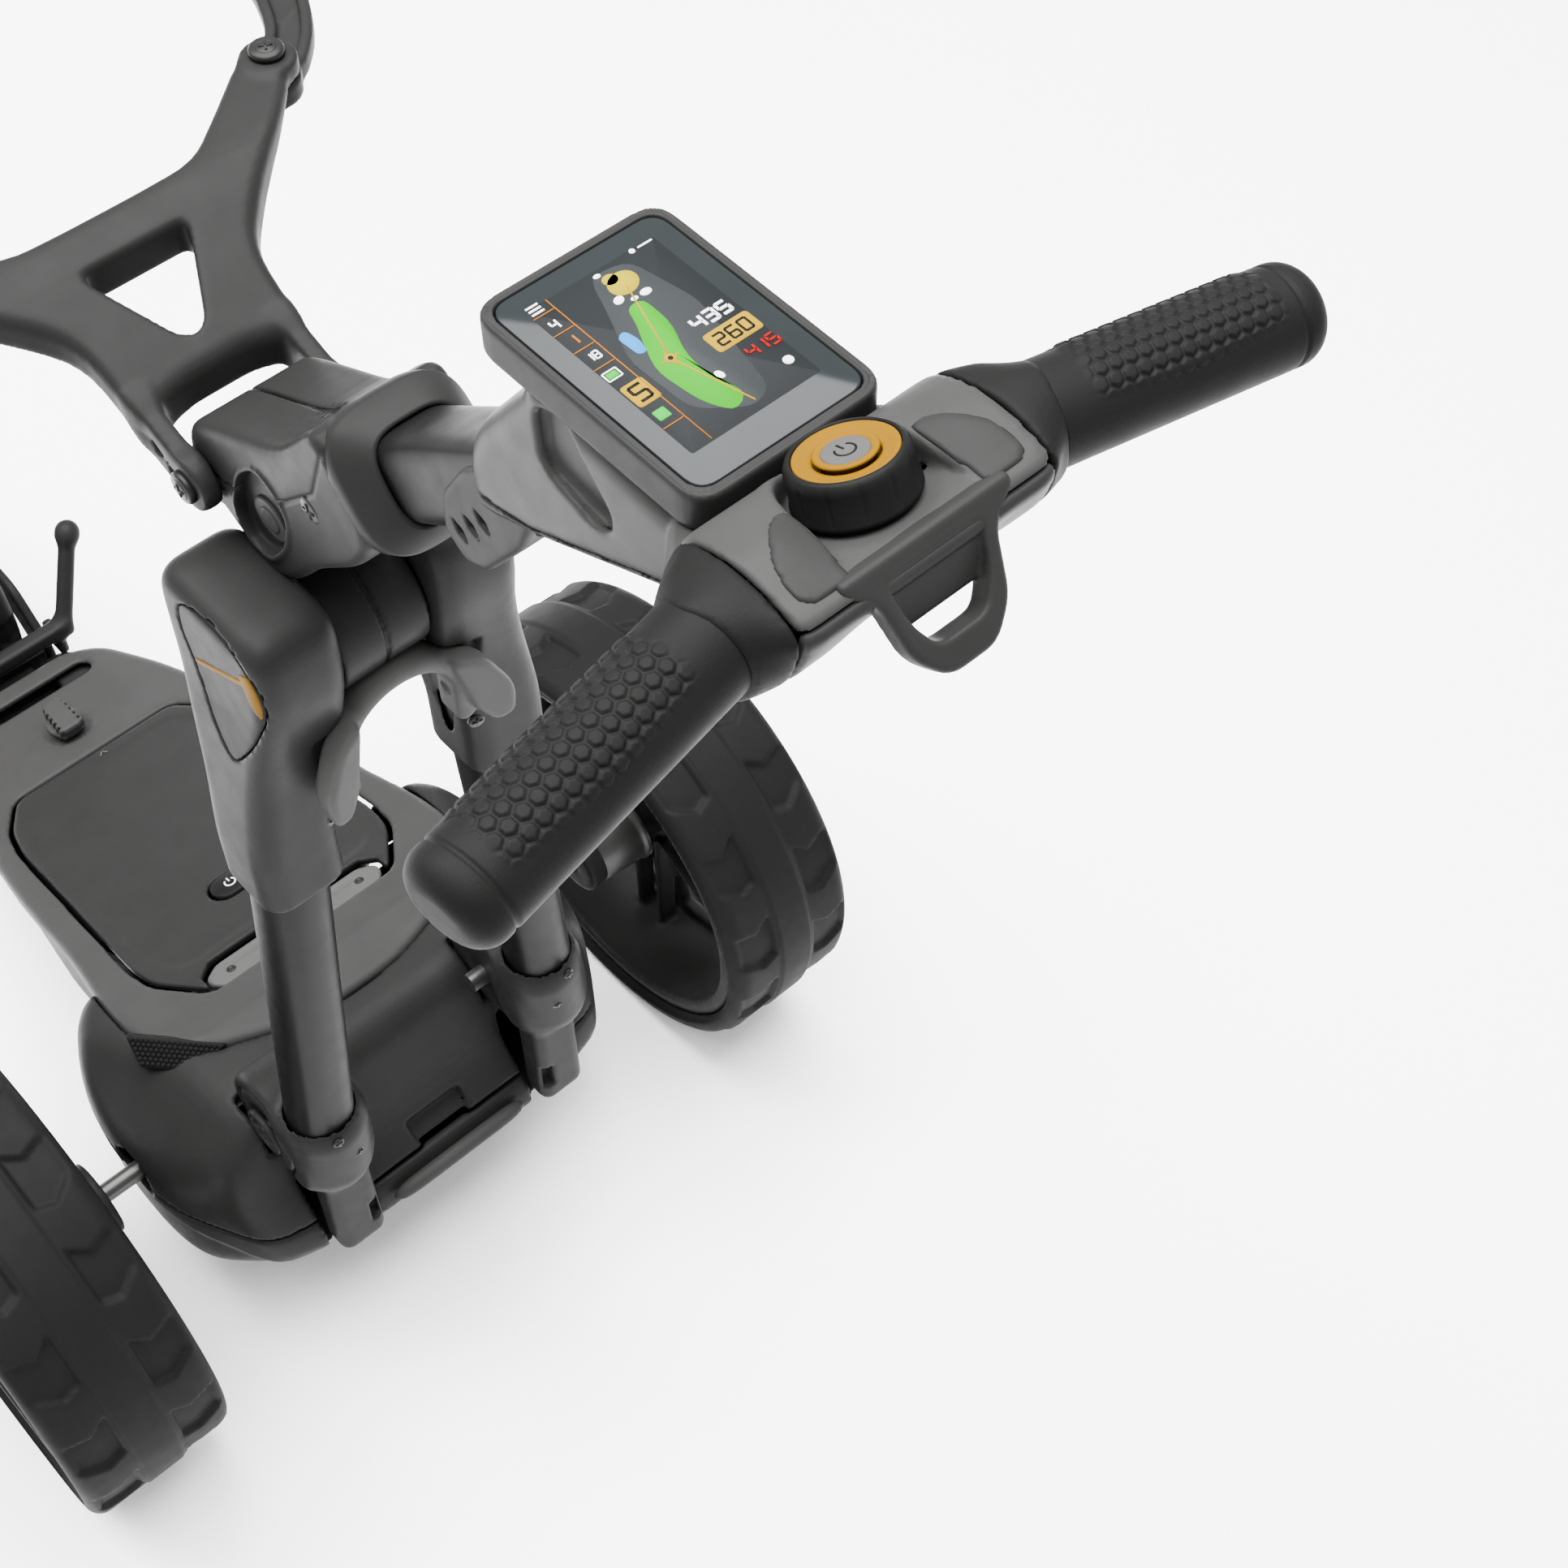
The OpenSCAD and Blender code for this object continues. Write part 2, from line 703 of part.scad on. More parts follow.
module bag_yoke() color("#3b3b3b") from_axle()
    difference() {
        union() {
            intersection() {
                translate([0, 0, 720]) linear_extrude(90) polygon(yoke_plan);
                x_slab(130) polygon(yoke_side);
            }
            both_sides() {
                x_rod(yoke_pin, 13, 31, 40.5);
                translate([31, 0, 0]) rotate([90, 0, 90]) linear_extrude(9.5)
                    polygon([[-94, 731], [-84, 729.6], [-56, 741], [-56, 764], [-80, 754], [-94, 753]]);
                translate([arm_pin[0], arm_pin[1], 786.1]) cylinder(r = 13, h = 9.9);
            }
        }
        linear_extrude(900) polygon([[-26, -5], [26, -5], [5, -42], [-5, -42]]);
        x_rod(yoke_pin, 4 + play, -50, 50);
        both_sides() translate([arm_pin[0], arm_pin[1], 770]) cylinder(r = 4 + play, h = 40);
    }

module yoke_pin_screws() color("#707070") from_axle()
    both_sides() {
        x_rod(yoke_pin, 4, 20, 41);
        difference() {
            x_rod(yoke_pin, 7.5, 40.6, 44);
            translate([42.6, yoke_pin[1] - 5, yoke_pin[2] - 0.8]) cube([3, 10, 1.6]);
            translate([42.6, yoke_pin[1] - 0.8, yoke_pin[2] - 5]) cube([3, 1.6, 10]);
        }
    }

arm_plan = [
    [104, 62], [124, 78], [138, 112], [142, 156], [150, 164],
    [160, 160], [164, 128], [156, 92], [140, 64], [119, 45]
];

module arm_shape() {
    difference() {
        union() {
            translate([arm_pin[0], arm_pin[1], 774.6]) cylinder(r = 13, h = 11);
            translate([0, 0, 774.6]) linear_extrude(11) polygon(arm_plan);
        }
        translate([arm_pin[0], arm_pin[1], 760]) cylinder(r = 4 + play, h = 40);
    }
}

module bag_arm_right() color("#3b3b3b") from_axle() arm_shape();
module bag_arm_left() color("#3b3b3b") from_axle() mirror([1, 0, 0]) arm_shape();

module arm_screws() color("#707070") from_axle()
    both_sides() {
        translate([arm_pin[0], arm_pin[1], 770]) cylinder(r = 4, h = 28);
        translate([arm_pin[0], arm_pin[1], 796.2]) cylinder(r = 8, h = 4);
        translate([arm_pin[0], arm_pin[1], 770.2]) cylinder(r = 7, h = 4);
    }

// ---- console ----

// Side outline: y, z and the way inwards from each corner
console_side = [
    [-226, 846, -1, 0.3], [-236, 876, -1, -0.4], [-262, 904, -0.6, -1],
    [-300, 962, -0.8, -0.8], [-306, 977, -1, -1],
    [-412, 978, 0, -1], [-420, 990, -0.4, -1], [-432, 989, 0, -1], [-463, 997, 0.8, -1], [-468, 991, 1, -0.3],
    [-464, 983, 1, 0.2], [-455, 969, 0.8, 0.8], [-440, 958, 0.5, 1], [-400, 936, 0.5, 1], [-330, 900, 0.5, 1],
    [-268, 850, 0.6, 1], [-240, 828, 0.3, 1]
];

// Outer form of the console, shrunk on every side by t
module console_form(t) {
    intersection() {
        x_slab(58 - t) polygon([for (p = console_side) [p[0] + t * p[2], p[1] + t * p[3]]]);
        translate([0, 0, 780]) linear_extrude(260)
            polygon(mirrored([
                [25 - t, -210], [27 - t, -250], [30 - t, -310], [33 - t, -400], [56 - t, -416],
                [52 - t, -464], [46 - t, -476 + t]
            ]));
    }
}

// Everything above the seam between the console's two halves
module above_seam() {
    x_slab(80)
        polygon([
            [-200, 862], [-262, 876], [-330, 932], [-410, 966], [-500, 978], [-500, 1100], [-200, 1100]
        ]);
}

module console_upper() color("#5e5e5e") from_axle()
    difference() {
        intersection() {
            console_form(0);
            above_seam();
        }
        console_form(wall);
        grip_core(11.3);
        rod(along_stem(0), along_stem(160), stem_r);
        translate(dial_c) rotate([-dial_tilt, 0, 0]) cylinder(r = 5 + play, h = 40, center = true);
        translate(dial_c) rotate([-dial_tilt, 0, 0]) cylinder(r = dial_d / 2 + 1, h = 40);
    }

module console_lower() color("#4a4a4a") from_axle()
    difference() {
        intersection() {
            console_form(0);
            difference() {
                translate([-100, -600, 700]) cube([200, 500, 400]);
                above_seam();
            }
        }
        console_form(wall);
        grip_core(11.3);
        rod(along_stem(0), along_stem(160), stem_r);
    }

module display_case() color("#474747") from_axle()
    difference() {
        translate([0, display_y, 978.6]) linear_extrude(15) round_rect(71, 102, 9);
        translate([0, display_y, 989]) linear_extrude(10) round_rect(64, 95, 7);
        translate([0, display_y, 981.5]) linear_extrude(12) round_rect(58, 90, 6);
    }

module display_glass() color("#1d2124") from_axle()
    translate([0, display_y, 989.4]) linear_extrude(3.6) round_rect(63.4, 94.4, 6.7);

module display_board() color("#2f6b3a") from_axle()
    translate([0, display_y, 983]) linear_extrude(4) round_rect(56, 88, 4);

module grip_core(r) {
    both_sides() {
        rod(on_grip(0), on_grip(0.8), r);
        rod(cross_bar, on_grip(0.06), r - 1.5);
    }
    rod([-cross_bar[0] - 3, cross_bar[1], cross_bar[2]], cross_bar + [3, 0, 0], r - 2);
}

module handlebar_core() color("#6b6f73") from_axle()
    grip_core(11);

// Sleeve over the core with a domed outer end
module grips() color("#333333") from_axle()
    both_sides() {
        start = on_grip(0.07);
        l = norm(grip_out - start) - 1;
        dome = 9;
        bore_end = norm(on_grip(0.8) - start);
        aim(start, grip_out)
            rotate_extrude()
                polygon(concat(
                    [[11, 0], [grip_r, 0]],
                    arc([grip_r - dome, l - dome], dome, 0, 90, 6),
                    [[0, l], [0, bore_end + 0.5], [11, bore_end + 0.5]]
                ));
    }

module ticket_loop() color("#474747") from_axle()
    difference() {
        hull() {
            translate([-34, -471, 983]) cube([68, 5, 8]);
            translate([-25, -478, 962]) cube([50, 3, 6]);
            translate([-14, -487, 950]) cube([28, 6, 5]);
            translate([-32, -463, 974]) cube([64, 3, 6]);
        }
        translate([-13, -500, 957]) cube([26, 60, 13]);
        console_form(0);
        translate([0, -0.3, -0.3]) console_form(0);
    }

// ---- controls ----

module at_dial() translate(dial_c) rotate([-dial_tilt, 0, 0]) children();

module speed_dial() color("#262626") from_axle()
    at_dial()
        difference() {
            union() {
                translate([0, 0, 1]) cylinder(r = dial_d / 2, h = 15);
                translate([0, 0, -7]) cylinder(r = 5, h = 9);
            }
            translate([0, 0, 8]) cylinder(r = 8.2, h = 12);
            translate([0, 0, -9]) cylinder(r = 2.2, h = 20);
        }

module dial_button() color("#f0c030") from_axle()
    at_dial() {
        translate([0, 0, 11]) cylinder(r = 7.9, h = 4.6);
        translate([0, 0, -5]) cylinder(r = 2.15, h = 16.5);
    }

rear_tyre_left();
rear_tyre_right();
rear_rim_left();
rear_rim_right();
hub_release_left();
hub_release_right();
drive_axle();
axle_gear();
motor_pinion();
motor_shaft();
motor_can();
gearbox_case();
axle_bearings();
housing_upper();
housing_lower();
side_pads();
foot_bar();
tray_base();
tray_surround();
battery_socket();
control_board();
tray_lock_knob();
battery_case();
battery_lid();
battery_cells();
battery_release_tab();
battery_button();
front_beam();
front_fork();
front_axle();
front_tyre();
front_rim();
front_pin();
lower_cradle();
base_pins();
pivot_caps();
leg_sockets();
leg_tubes();
leg_caps();
badge_plates();
fold_latch();
drum_pin();
hub_block();
hub_collar();
stem_tube();
bag_yoke();
yoke_pin_screws();
bag_arm_left();
bag_arm_right();
arm_screws();
console_lower();
console_upper();
display_case();
display_glass();
display_board();
handlebar_core();
grips();
ticket_loop();
speed_dial();
dial_button();
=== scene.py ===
"""Looks of the three-wheeled electric golf trolley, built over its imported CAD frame.

Shapes are worked out in millimetres with the rear axle at y = 0, +X to the driver's right and +Z up,
and moved into the frame when the mesh is made. Moulded pieces are distance fields meshed by net().
"""

import json
import math

import bpy
import numpy as np
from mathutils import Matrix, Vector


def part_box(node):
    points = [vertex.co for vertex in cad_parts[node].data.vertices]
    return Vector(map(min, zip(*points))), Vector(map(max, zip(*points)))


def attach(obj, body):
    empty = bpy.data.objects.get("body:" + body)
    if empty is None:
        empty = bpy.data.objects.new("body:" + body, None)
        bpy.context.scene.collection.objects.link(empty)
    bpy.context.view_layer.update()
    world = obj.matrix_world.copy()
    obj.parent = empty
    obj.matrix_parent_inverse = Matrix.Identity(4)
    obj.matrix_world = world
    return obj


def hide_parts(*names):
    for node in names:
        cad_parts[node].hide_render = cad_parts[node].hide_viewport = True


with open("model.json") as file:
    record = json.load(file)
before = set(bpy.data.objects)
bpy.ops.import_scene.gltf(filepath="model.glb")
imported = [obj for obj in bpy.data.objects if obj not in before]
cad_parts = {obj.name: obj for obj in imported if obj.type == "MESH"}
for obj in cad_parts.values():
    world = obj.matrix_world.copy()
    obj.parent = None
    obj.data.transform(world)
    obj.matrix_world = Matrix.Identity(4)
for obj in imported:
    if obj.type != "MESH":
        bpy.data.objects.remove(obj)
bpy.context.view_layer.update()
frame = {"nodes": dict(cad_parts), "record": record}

MM = 0.001
tyre_lo, tyre_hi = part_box("rear_tyre_left")
AXLE_Y = (tyre_lo.y + tyre_hi.y) / 2 / MM
REAR_R = (tyre_hi.z - tyre_lo.z) / 2 / MM
HALF_TRACK = -(tyre_lo.x + tyre_hi.x) / 2 / MM
REAR_W = (tyre_hi.x - tyre_lo.x) / MM
front_lo, front_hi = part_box("front_tyre")
FRONT_R = (front_hi.z - front_lo.z) / 2 / MM
FRONT_W = (front_hi.x - front_lo.x) / MM
WHEELBASE = (front_lo.y + front_hi.y) / 2 / MM - AXLE_Y

# ---- camera, light and floor ----

cam_data = bpy.data.cameras.new("camera")
cam_data.lens = 57.34
cam_data.sensor_width = 36
camera = bpy.data.objects.new("camera", cam_data)
camera.location = (-0.31987, -0.85031, 1.49684)
camera.rotation_euler = (math.radians(35.55), 0, math.radians(-41.9))
bpy.context.scene.collection.objects.link(camera)
bpy.context.scene.camera = camera


def lamp(name, place, target, size, power):
    """Square soft box that shines from one place at another."""
    data = bpy.data.lights.new(name, "AREA")
    data.size = size
    data.energy = power
    obj = bpy.data.objects.new(name, data)
    obj.location = place
    away = np.array(place) - np.array(target)
    flat = math.hypot(away[0], away[1])
    obj.rotation_euler = (math.atan2(flat, away[2]), 0, math.atan2(away[0], -away[1]))
    bpy.context.scene.collection.objects.link(obj)


lamp("top_light", (0.3, 0.1, 3.8), (0.3, 0, 0), 3.6, 1230)
lamp("key_light", (-1.2, 1.6, 2.9), (0, 0, 0.4), 1.5, 150)
lamp("fill_light", (2.2, -1.4, 2.2), (0, 0, 0.4), 2.0, 8)
world = bpy.data.worlds.new("studio")
world.use_nodes = True
world.node_tree.nodes["Background"].inputs["Color"].default_value = (1.0, 0.995, 0.99, 1)
world.node_tree.nodes["Background"].inputs["Strength"].default_value = 1.5
bpy.context.scene.world = world

# ---- materials ----

FINISH = {}


def finish(name, colour, rough, metal=0.0, grain=1500, bump=0.05, mottle=0.05, wear=0.035, index=1.1):
    """Material with a moulded or brushed grain, a little mottling and worn, shinier patches."""
    mat = bpy.data.materials.new(name)
    mat.use_nodes = True
    nodes, links = mat.node_tree.nodes, mat.node_tree.links
    shader = nodes["Principled BSDF"]
    shader.inputs["Metallic"].default_value = metal
    shader.inputs["IOR"].default_value = index
    place = nodes.new("ShaderNodeTexCoord")

    def noise(scale, detail):
        node = nodes.new("ShaderNodeTexNoise")
        node.inputs["Scale"].default_value = scale
        node.inputs["Detail"].default_value = detail
        links.new(place.outputs["Object"], node.inputs["Vector"])
        return node.outputs["Fac"]

    def ramp(source, low, high):
        node = nodes.new("ShaderNodeMapRange")
        node.inputs["From Min"].default_value = 0.3
        node.inputs["From Max"].default_value = 0.7
        node.inputs["To Min"].default_value = low
        node.inputs["To Max"].default_value = high
        links.new(source, node.inputs["Value"])
        return node.outputs["Result"]

    mix = nodes.new("ShaderNodeMix")
    mix.data_type = "RGBA"
    mix.inputs[6].default_value = [c * (1 - mottle) for c in colour] + [1]
    mix.inputs[7].default_value = [min(1, c * (1 + mottle)) for c in colour] + [1]
    links.new(ramp(noise(38, 3), 0, 1), mix.inputs[0])
    links.new(mix.outputs[2], shader.inputs["Base Color"])
    links.new(ramp(noise(90, 4), max(0, rough - wear), min(1, rough + wear)), shader.inputs["Roughness"])
    relief = nodes.new("ShaderNodeBump")
    relief.inputs["Strength"].default_value = bump
    relief.inputs["Distance"].default_value = 0.0006
    links.new(noise(grain, 2), relief.inputs["Height"])
    links.new(relief.outputs["Normal"], shader.inputs["Normal"])
    FINISH[name] = mat


def grey(value):
    """Neutral colour with a slight warmth."""
    return (value * 1.01, value, value * 0.985)


finish("tyre", grey(0.0042), 0.6, bump=0.1, grain=900)
finish("rim_plastic", grey(0.008), 0.45)
finish("rim_metal", grey(0.035), 0.38, metal=0.75)
finish("shell_dark", grey(0.0078), 0.42, bump=0.07)
finish("shell_grey", grey(0.0165), 0.42, bump=0.06)
finish("console_grey", grey(0.0185), 0.36, bump=0.05)
finish("console_dark", grey(0.0105), 0.42, bump=0.07)
finish("battery_black", grey(0.0085), 0.44, bump=0.08)
finish("release_grey", grey(0.034), 0.45)
finish("grip_rubber", grey(0.0038), 0.55, bump=0.12, grain=1100)
finish("tube_metal", grey(0.0032), 0.36, grain=500, bump=0.02)
finish("steel", grey(0.035), 0.36, metal=0.8, grain=700)
finish("zinc_screw", grey(0.012), 0.4, metal=0.6)
finish("gear_nylon", (0.7, 0.6, 0.38), 0.5)
finish("cast_case", grey(0.3), 0.45, metal=0.8, bump=0.2)
finish("board", (0.05, 0.22, 0.1), 0.4)
finish("cell_wrap", (0.12, 0.26, 0.4), 0.35)
finish("screen_glass", (0.006, 0.0075, 0.008), 0.16, bump=0.0, wear=0.02, index=1.2)
finish("button_yellow", (0.085, 0.04, 0.0), 0.5)
finish("knob_black", grey(0.0035), 0.45)
finish("pad_dark", grey(0.0035), 0.55, bump=0.12)
finish("gap_black", grey(0.004), 0.9)
finish("floor_white", (0.97, 0.972, 0.975), 0.7, bump=0.01, mottle=0.003)
finish("lamp_green", (0.003, 0.17, 0.012), 0.5)
finish("map_fairway", (0.009, 0.13, 0.0002), 0.5, mottle=0.02)
finish("map_green", (0.16, 0.125, 0.0), 0.5, mottle=0.02)
finish("map_sand", (0.5, 0.5, 0.48), 0.5, mottle=0.01)
finish("map_water", (0.003, 0.1, 0.26), 0.5, mottle=0.02)
finish("map_yellow", (0.16, 0.095, 0.0), 0.5, mottle=0.01)
finish("map_red", (0.11, 0.001, 0.001), 0.5, mottle=0.01)
finish("map_white", (0.5, 0.5, 0.5), 0.5, mottle=0.01)
finish("map_orange", (0.16, 0.05, 0.0005), 0.5, mottle=0.01)
# painted reflection: the screen's dark background is made lighter than its own colour to stand in for the
# glass's reflection
finish("map_panel", (0.0062, 0.007, 0.0075), 0.4, mottle=0.02)
# painted reflection: the lighter patch on the screen stands in for the glass's reflection
finish("map_shade", (0.0125, 0.014, 0.0148), 0.4, mottle=0.02)

for entry in frame["record"]["subparts"]:
    part = frame["nodes"].get(entry["node"])
    if part and entry.get("material_slot") in FINISH:
        part.data.materials.clear()
        part.data.materials.append(FINISH[entry["material_slot"]])

# ---- meshes ----


def mesh_object(name, points, quads, mat):
    """Object from points in millimetres and an (n, 3 or 4) table of corners."""
    points = np.asarray(points, np.float64).reshape(-1, 3)
    quads = np.asarray(quads, np.int32)
    mesh = bpy.data.meshes.new(name)
    mesh.vertices.add(len(points))
    world_points = (points + (0, AXLE_Y, 0)) * MM
    mesh.vertices.foreach_set("co", world_points.astype(np.float32).ravel())
    mesh.loops.add(quads.size)
    mesh.loops.foreach_set("vertex_index", quads.ravel())
    mesh.polygons.add(len(quads))
    starts = np.arange(len(quads), dtype=np.int32) * quads.shape[1]
    mesh.polygons.foreach_set("loop_start", starts)
    mesh.polygons.foreach_set("use_smooth", np.ones(len(quads), bool))
    mesh.update(calc_edges=True)
    mesh.validate()
    mesh.materials.append(FINISH[mat])
    obj = bpy.data.objects.new(name, mesh)
    bpy.context.scene.collection.objects.link(obj)
    return obj


def piece(name, shape, mat, body, *nodes, slot=None):
    """Object that moves with a body and stands for these nodes; its slot argument is not used."""
    obj = mesh_object(name, *shape, mat)
    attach(obj, body)
    if nodes:
        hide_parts(*nodes)


def strip(rings, close_ring=True, close_ends=False, caps=True):
    """Points and quads of rings of points joined in order; end caps are fans to the ring's middle."""
    rings = np.asarray(rings, float)
    n, m = rings.shape[:2]
    points = rings.reshape(-1, 3)
    i = np.arange(n if close_ends else n - 1)[:, None]
    j = np.arange(m if close_ring else m - 1)[None, :]
    i2, j2 = (i + 1) % n, (j + 1) % m
    quads = np.stack(np.broadcast_arrays(i * m + j, i * m + j2, i2 * m + j2, i2 * m + j), -1).reshape(-1, 4)
    if caps and close_ring and not close_ends:
        mid = len(points)
        points = np.vstack([points, rings[0].mean(0), rings[-1].mean(0)])
        k = np.arange(0, m, 2)
        k1, k2 = (k + 1) % m, (k + 2) % m
        last = (n - 1) * m
        low = np.stack([np.full_like(k, mid), k2, k1, k], -1)
        high = np.stack([np.full_like(k, mid + 1), last + k, last + k1, last + k2], -1)
        quads = np.vstack([quads, low, high])
    return points, quads


def stroke(points, width, low, high, place):
    """Raised line along a path, on a surface where place(u, v, height) gives a point."""
    path = np.array(points, float)
    way = np.gradient(path, axis=0)
    way /= np.linalg.norm(way, axis=1)[:, None]
    across = np.stack([-way[:, 1], way[:, 0]], 1) * width / 2
    return strip([[place(*a, low), place(*b, low), place(*b, high), place(*a, high)] for a,
                  b in zip(path + across, path - across)])


def joined(*shapes):
    """Several (points, quads) pairs as one."""
    points, quads, count = [], [], 0
    for p, q in shapes:
        points.append(p)
        quads.append(np.asarray(q) + count)
        count += len(p)
    return np.vstack(points), np.vstack(quads)


def flipped(shape):
    """Mirror image of (points, quads) about x = 0."""
    points, quads = shape
    return np.asarray(points) * (-1, 1, 1), np.asarray(quads)[:, ::-1]


def sided(shape, side):
    """A right-hand shape, or its mirror image for the left."""
    return shape if side > 0 else flipped(shape)


def both(shape):
    """A shape and its mirror image."""
    return joined(shape, flipped(shape))


def basis(axis, up=(0, 0, 1)):
    """Two unit vectors across an axis, the second nearest to up, and the axis."""
    axis = np.array(axis, float) / np.linalg.norm(axis)
    side = np.cross(up, axis)
    side /= np.linalg.norm(side)
    return side, np.cross(axis, side), axis


def turned(place, axis, profile, steps=48, up=(0, 0, 1)):
    """Revolved profile of [radius, height] points about an axis from a place."""
    side, over, axis = basis(axis, up)
    a = np.arange(steps) * 2 * math.pi / steps
    around = np.outer(np.cos(a), side) + np.outer(np.sin(a), over)
    rings = [np.array(place) + axis * h + around * r for r, h in profile]
    return strip(rings)


# ---- distance fields ----


class Grid:
    """Sampling points over a box; a mirrored grid sees the right half on both sides."""

    def __init__(self, low, high, step, mirror=True):
        self.low, self.step = np.array(low, float), step
        self.shape = tuple(int(math.ceil((b - a) / step)) + 1 for a, b in zip(low, high))
        x, y, z = [a + step * np.arange(n) for a, n in zip(low, self.shape)]
        self.real_x = x.astype(np.float32).reshape(-1, 1, 1)
        self.x = np.abs(self.real_x) if mirror else self.real_x
        self.y = y.astype(np.float32).reshape(1, -1, 1)
        self.z = z.astype(np.float32).reshape(1, 1, -1)

    def tilted(self, place, degrees):
        """Coordinates (y, z) turned about X by an angle round a place."""
        c, s = math.cos(math.radians(degrees)), math.sin(math.radians(degrees))
        y, z = self.y - place[1], self.z - place[2]
        return y * c + z * s, z * c - y * s


def union(a, b, k=0.0):
    """Nearer of two fields, blended over k."""
    if not k:
        return np.minimum(a, b)
    h = np.maximum(k - np.abs(a - b), 0) / k
    return np.minimum(a, b) - h * h * k / 4


def common(a, b, k=0.0):
    """Where both fields are solid, the edge rounded over k."""
    return -union(-a, -b, k)


def less(a, b, k=0.0):
    """First field without the second."""
    return common(a, -b, k)


def rounded(points, size, steps=4):
    """Outline with its corners cut to curves."""
    points = np.array(points, float)
    out = []
    for i in range(len(points)):
        p, a, b = points[i], points[i - 1], points[(i + 1) % len(points)]
        la, lb = np.linalg.norm(a - p), np.linalg.norm(b - p)
        cut = min(size, la * 0.48, lb * 0.48)
        pa, pb = p + (a - p) / la * cut, p + (b - p) / lb * cut
        for t in np.linspace(0, 1, steps + 1):
            out.append((1 - t) ** 2 * pa + 2 * t * (1 - t) * p + t * t * pb)
    return [tuple(q) for q in out]


def outline(u, v, points):
    """Distance to an outline in two of the coordinates."""
    best, inside = None, None
    for (ax, ay), (bx, by) in zip(points, points[1:] + points[:1]):
        ex, ey = bx - ax, by - ay
        if abs(ex) + abs(ey) < 1e-6:
            continue
        px, py = u - ax, v - ay
        t = np.clip((px * ex + py * ey) / (ex * ex + ey * ey), 0, 1)
        q = (px - ex * t) ** 2 + (py - ey * t) ** 2
        best = q if best is None else np.minimum(best, q)
        if abs(ey) > 1e-6:
            hit = ((ay <= v) != (by <= v)) & (u < ax + (v - ay) * (ex / ey))
            inside = hit if inside is None else inside ^ hit
    return np.where(inside, -1, 1) * np.sqrt(best)


def side_outline(g, points, size, steps=4):
    """Distance to an outline with rounded corners, seen from the side."""
    return outline(g.y, g.z, rounded(points, size, steps))


def plan_outline(g, points, size, steps=4):
    """Distance to an outline with rounded corners, seen from above."""
    return outline(g.x, g.y, rounded(points, size, steps))


def front_outline(g, points, size, steps=4):
    """Distance to an outline with rounded corners, seen from the front."""
    return outline(g.x, g.z, rounded(points, size, steps))


def span(u, a, b):
    """Distance to the slab from a to b."""
    return np.abs(u - (a + b) / 2) - (b - a) / 2


def block(u, v, w, centre, half, r):
    """Rounded box."""
    q = [np.abs(c - m) - h + r for c, m, h in zip((u, v, w), centre, half)]
    out = np.sqrt(sum(np.maximum(c, 0) ** 2 for c in q))
    return out + np.minimum(np.maximum(np.maximum(q[0], q[1]), q[2]), 0) - r


def limb(g, a, b, ra, rb=None):
    """Round-ended rod between two points, tapering from ra to rb."""
    rb = ra if rb is None else rb
    d = np.subtract(b, a)
    px, py, pz = g.x - a[0], g.y - a[1], g.z - a[2]
    t = np.clip((px * d[0] + py * d[1] + pz * d[2]) / float(d @ d), 0, 1)
    return np.sqrt((px - d[0] * t) ** 2 + (py - d[1] * t) ** 2 + (pz - d[2] * t) ** 2) - (ra + (rb - ra) * t)


def off_x(g, y, z):
    """Distance from a line along X."""
    return np.hypot(g.y - y, g.z - z)


def off_z(g, x, y):
    """Distance from an upright line."""
    return np.hypot(g.x - x, g.y - y)


def barrel(g, centre, r, x0, x1, k=3.0):
    """Cylinder along X with rounded rims."""
    return common(off_x(g, *centre[1:]) - r, span(g.x, x0, x1), k)


CORNERS = np.array([[i, j, k] for i in (0, 1) for j in (0, 1) for k in (0, 1)])
EDGES = [(a, b) for a in range(8) for b in range(a + 1, 8) if np.abs(CORNERS[a] - CORNERS[b]).sum() == 1]


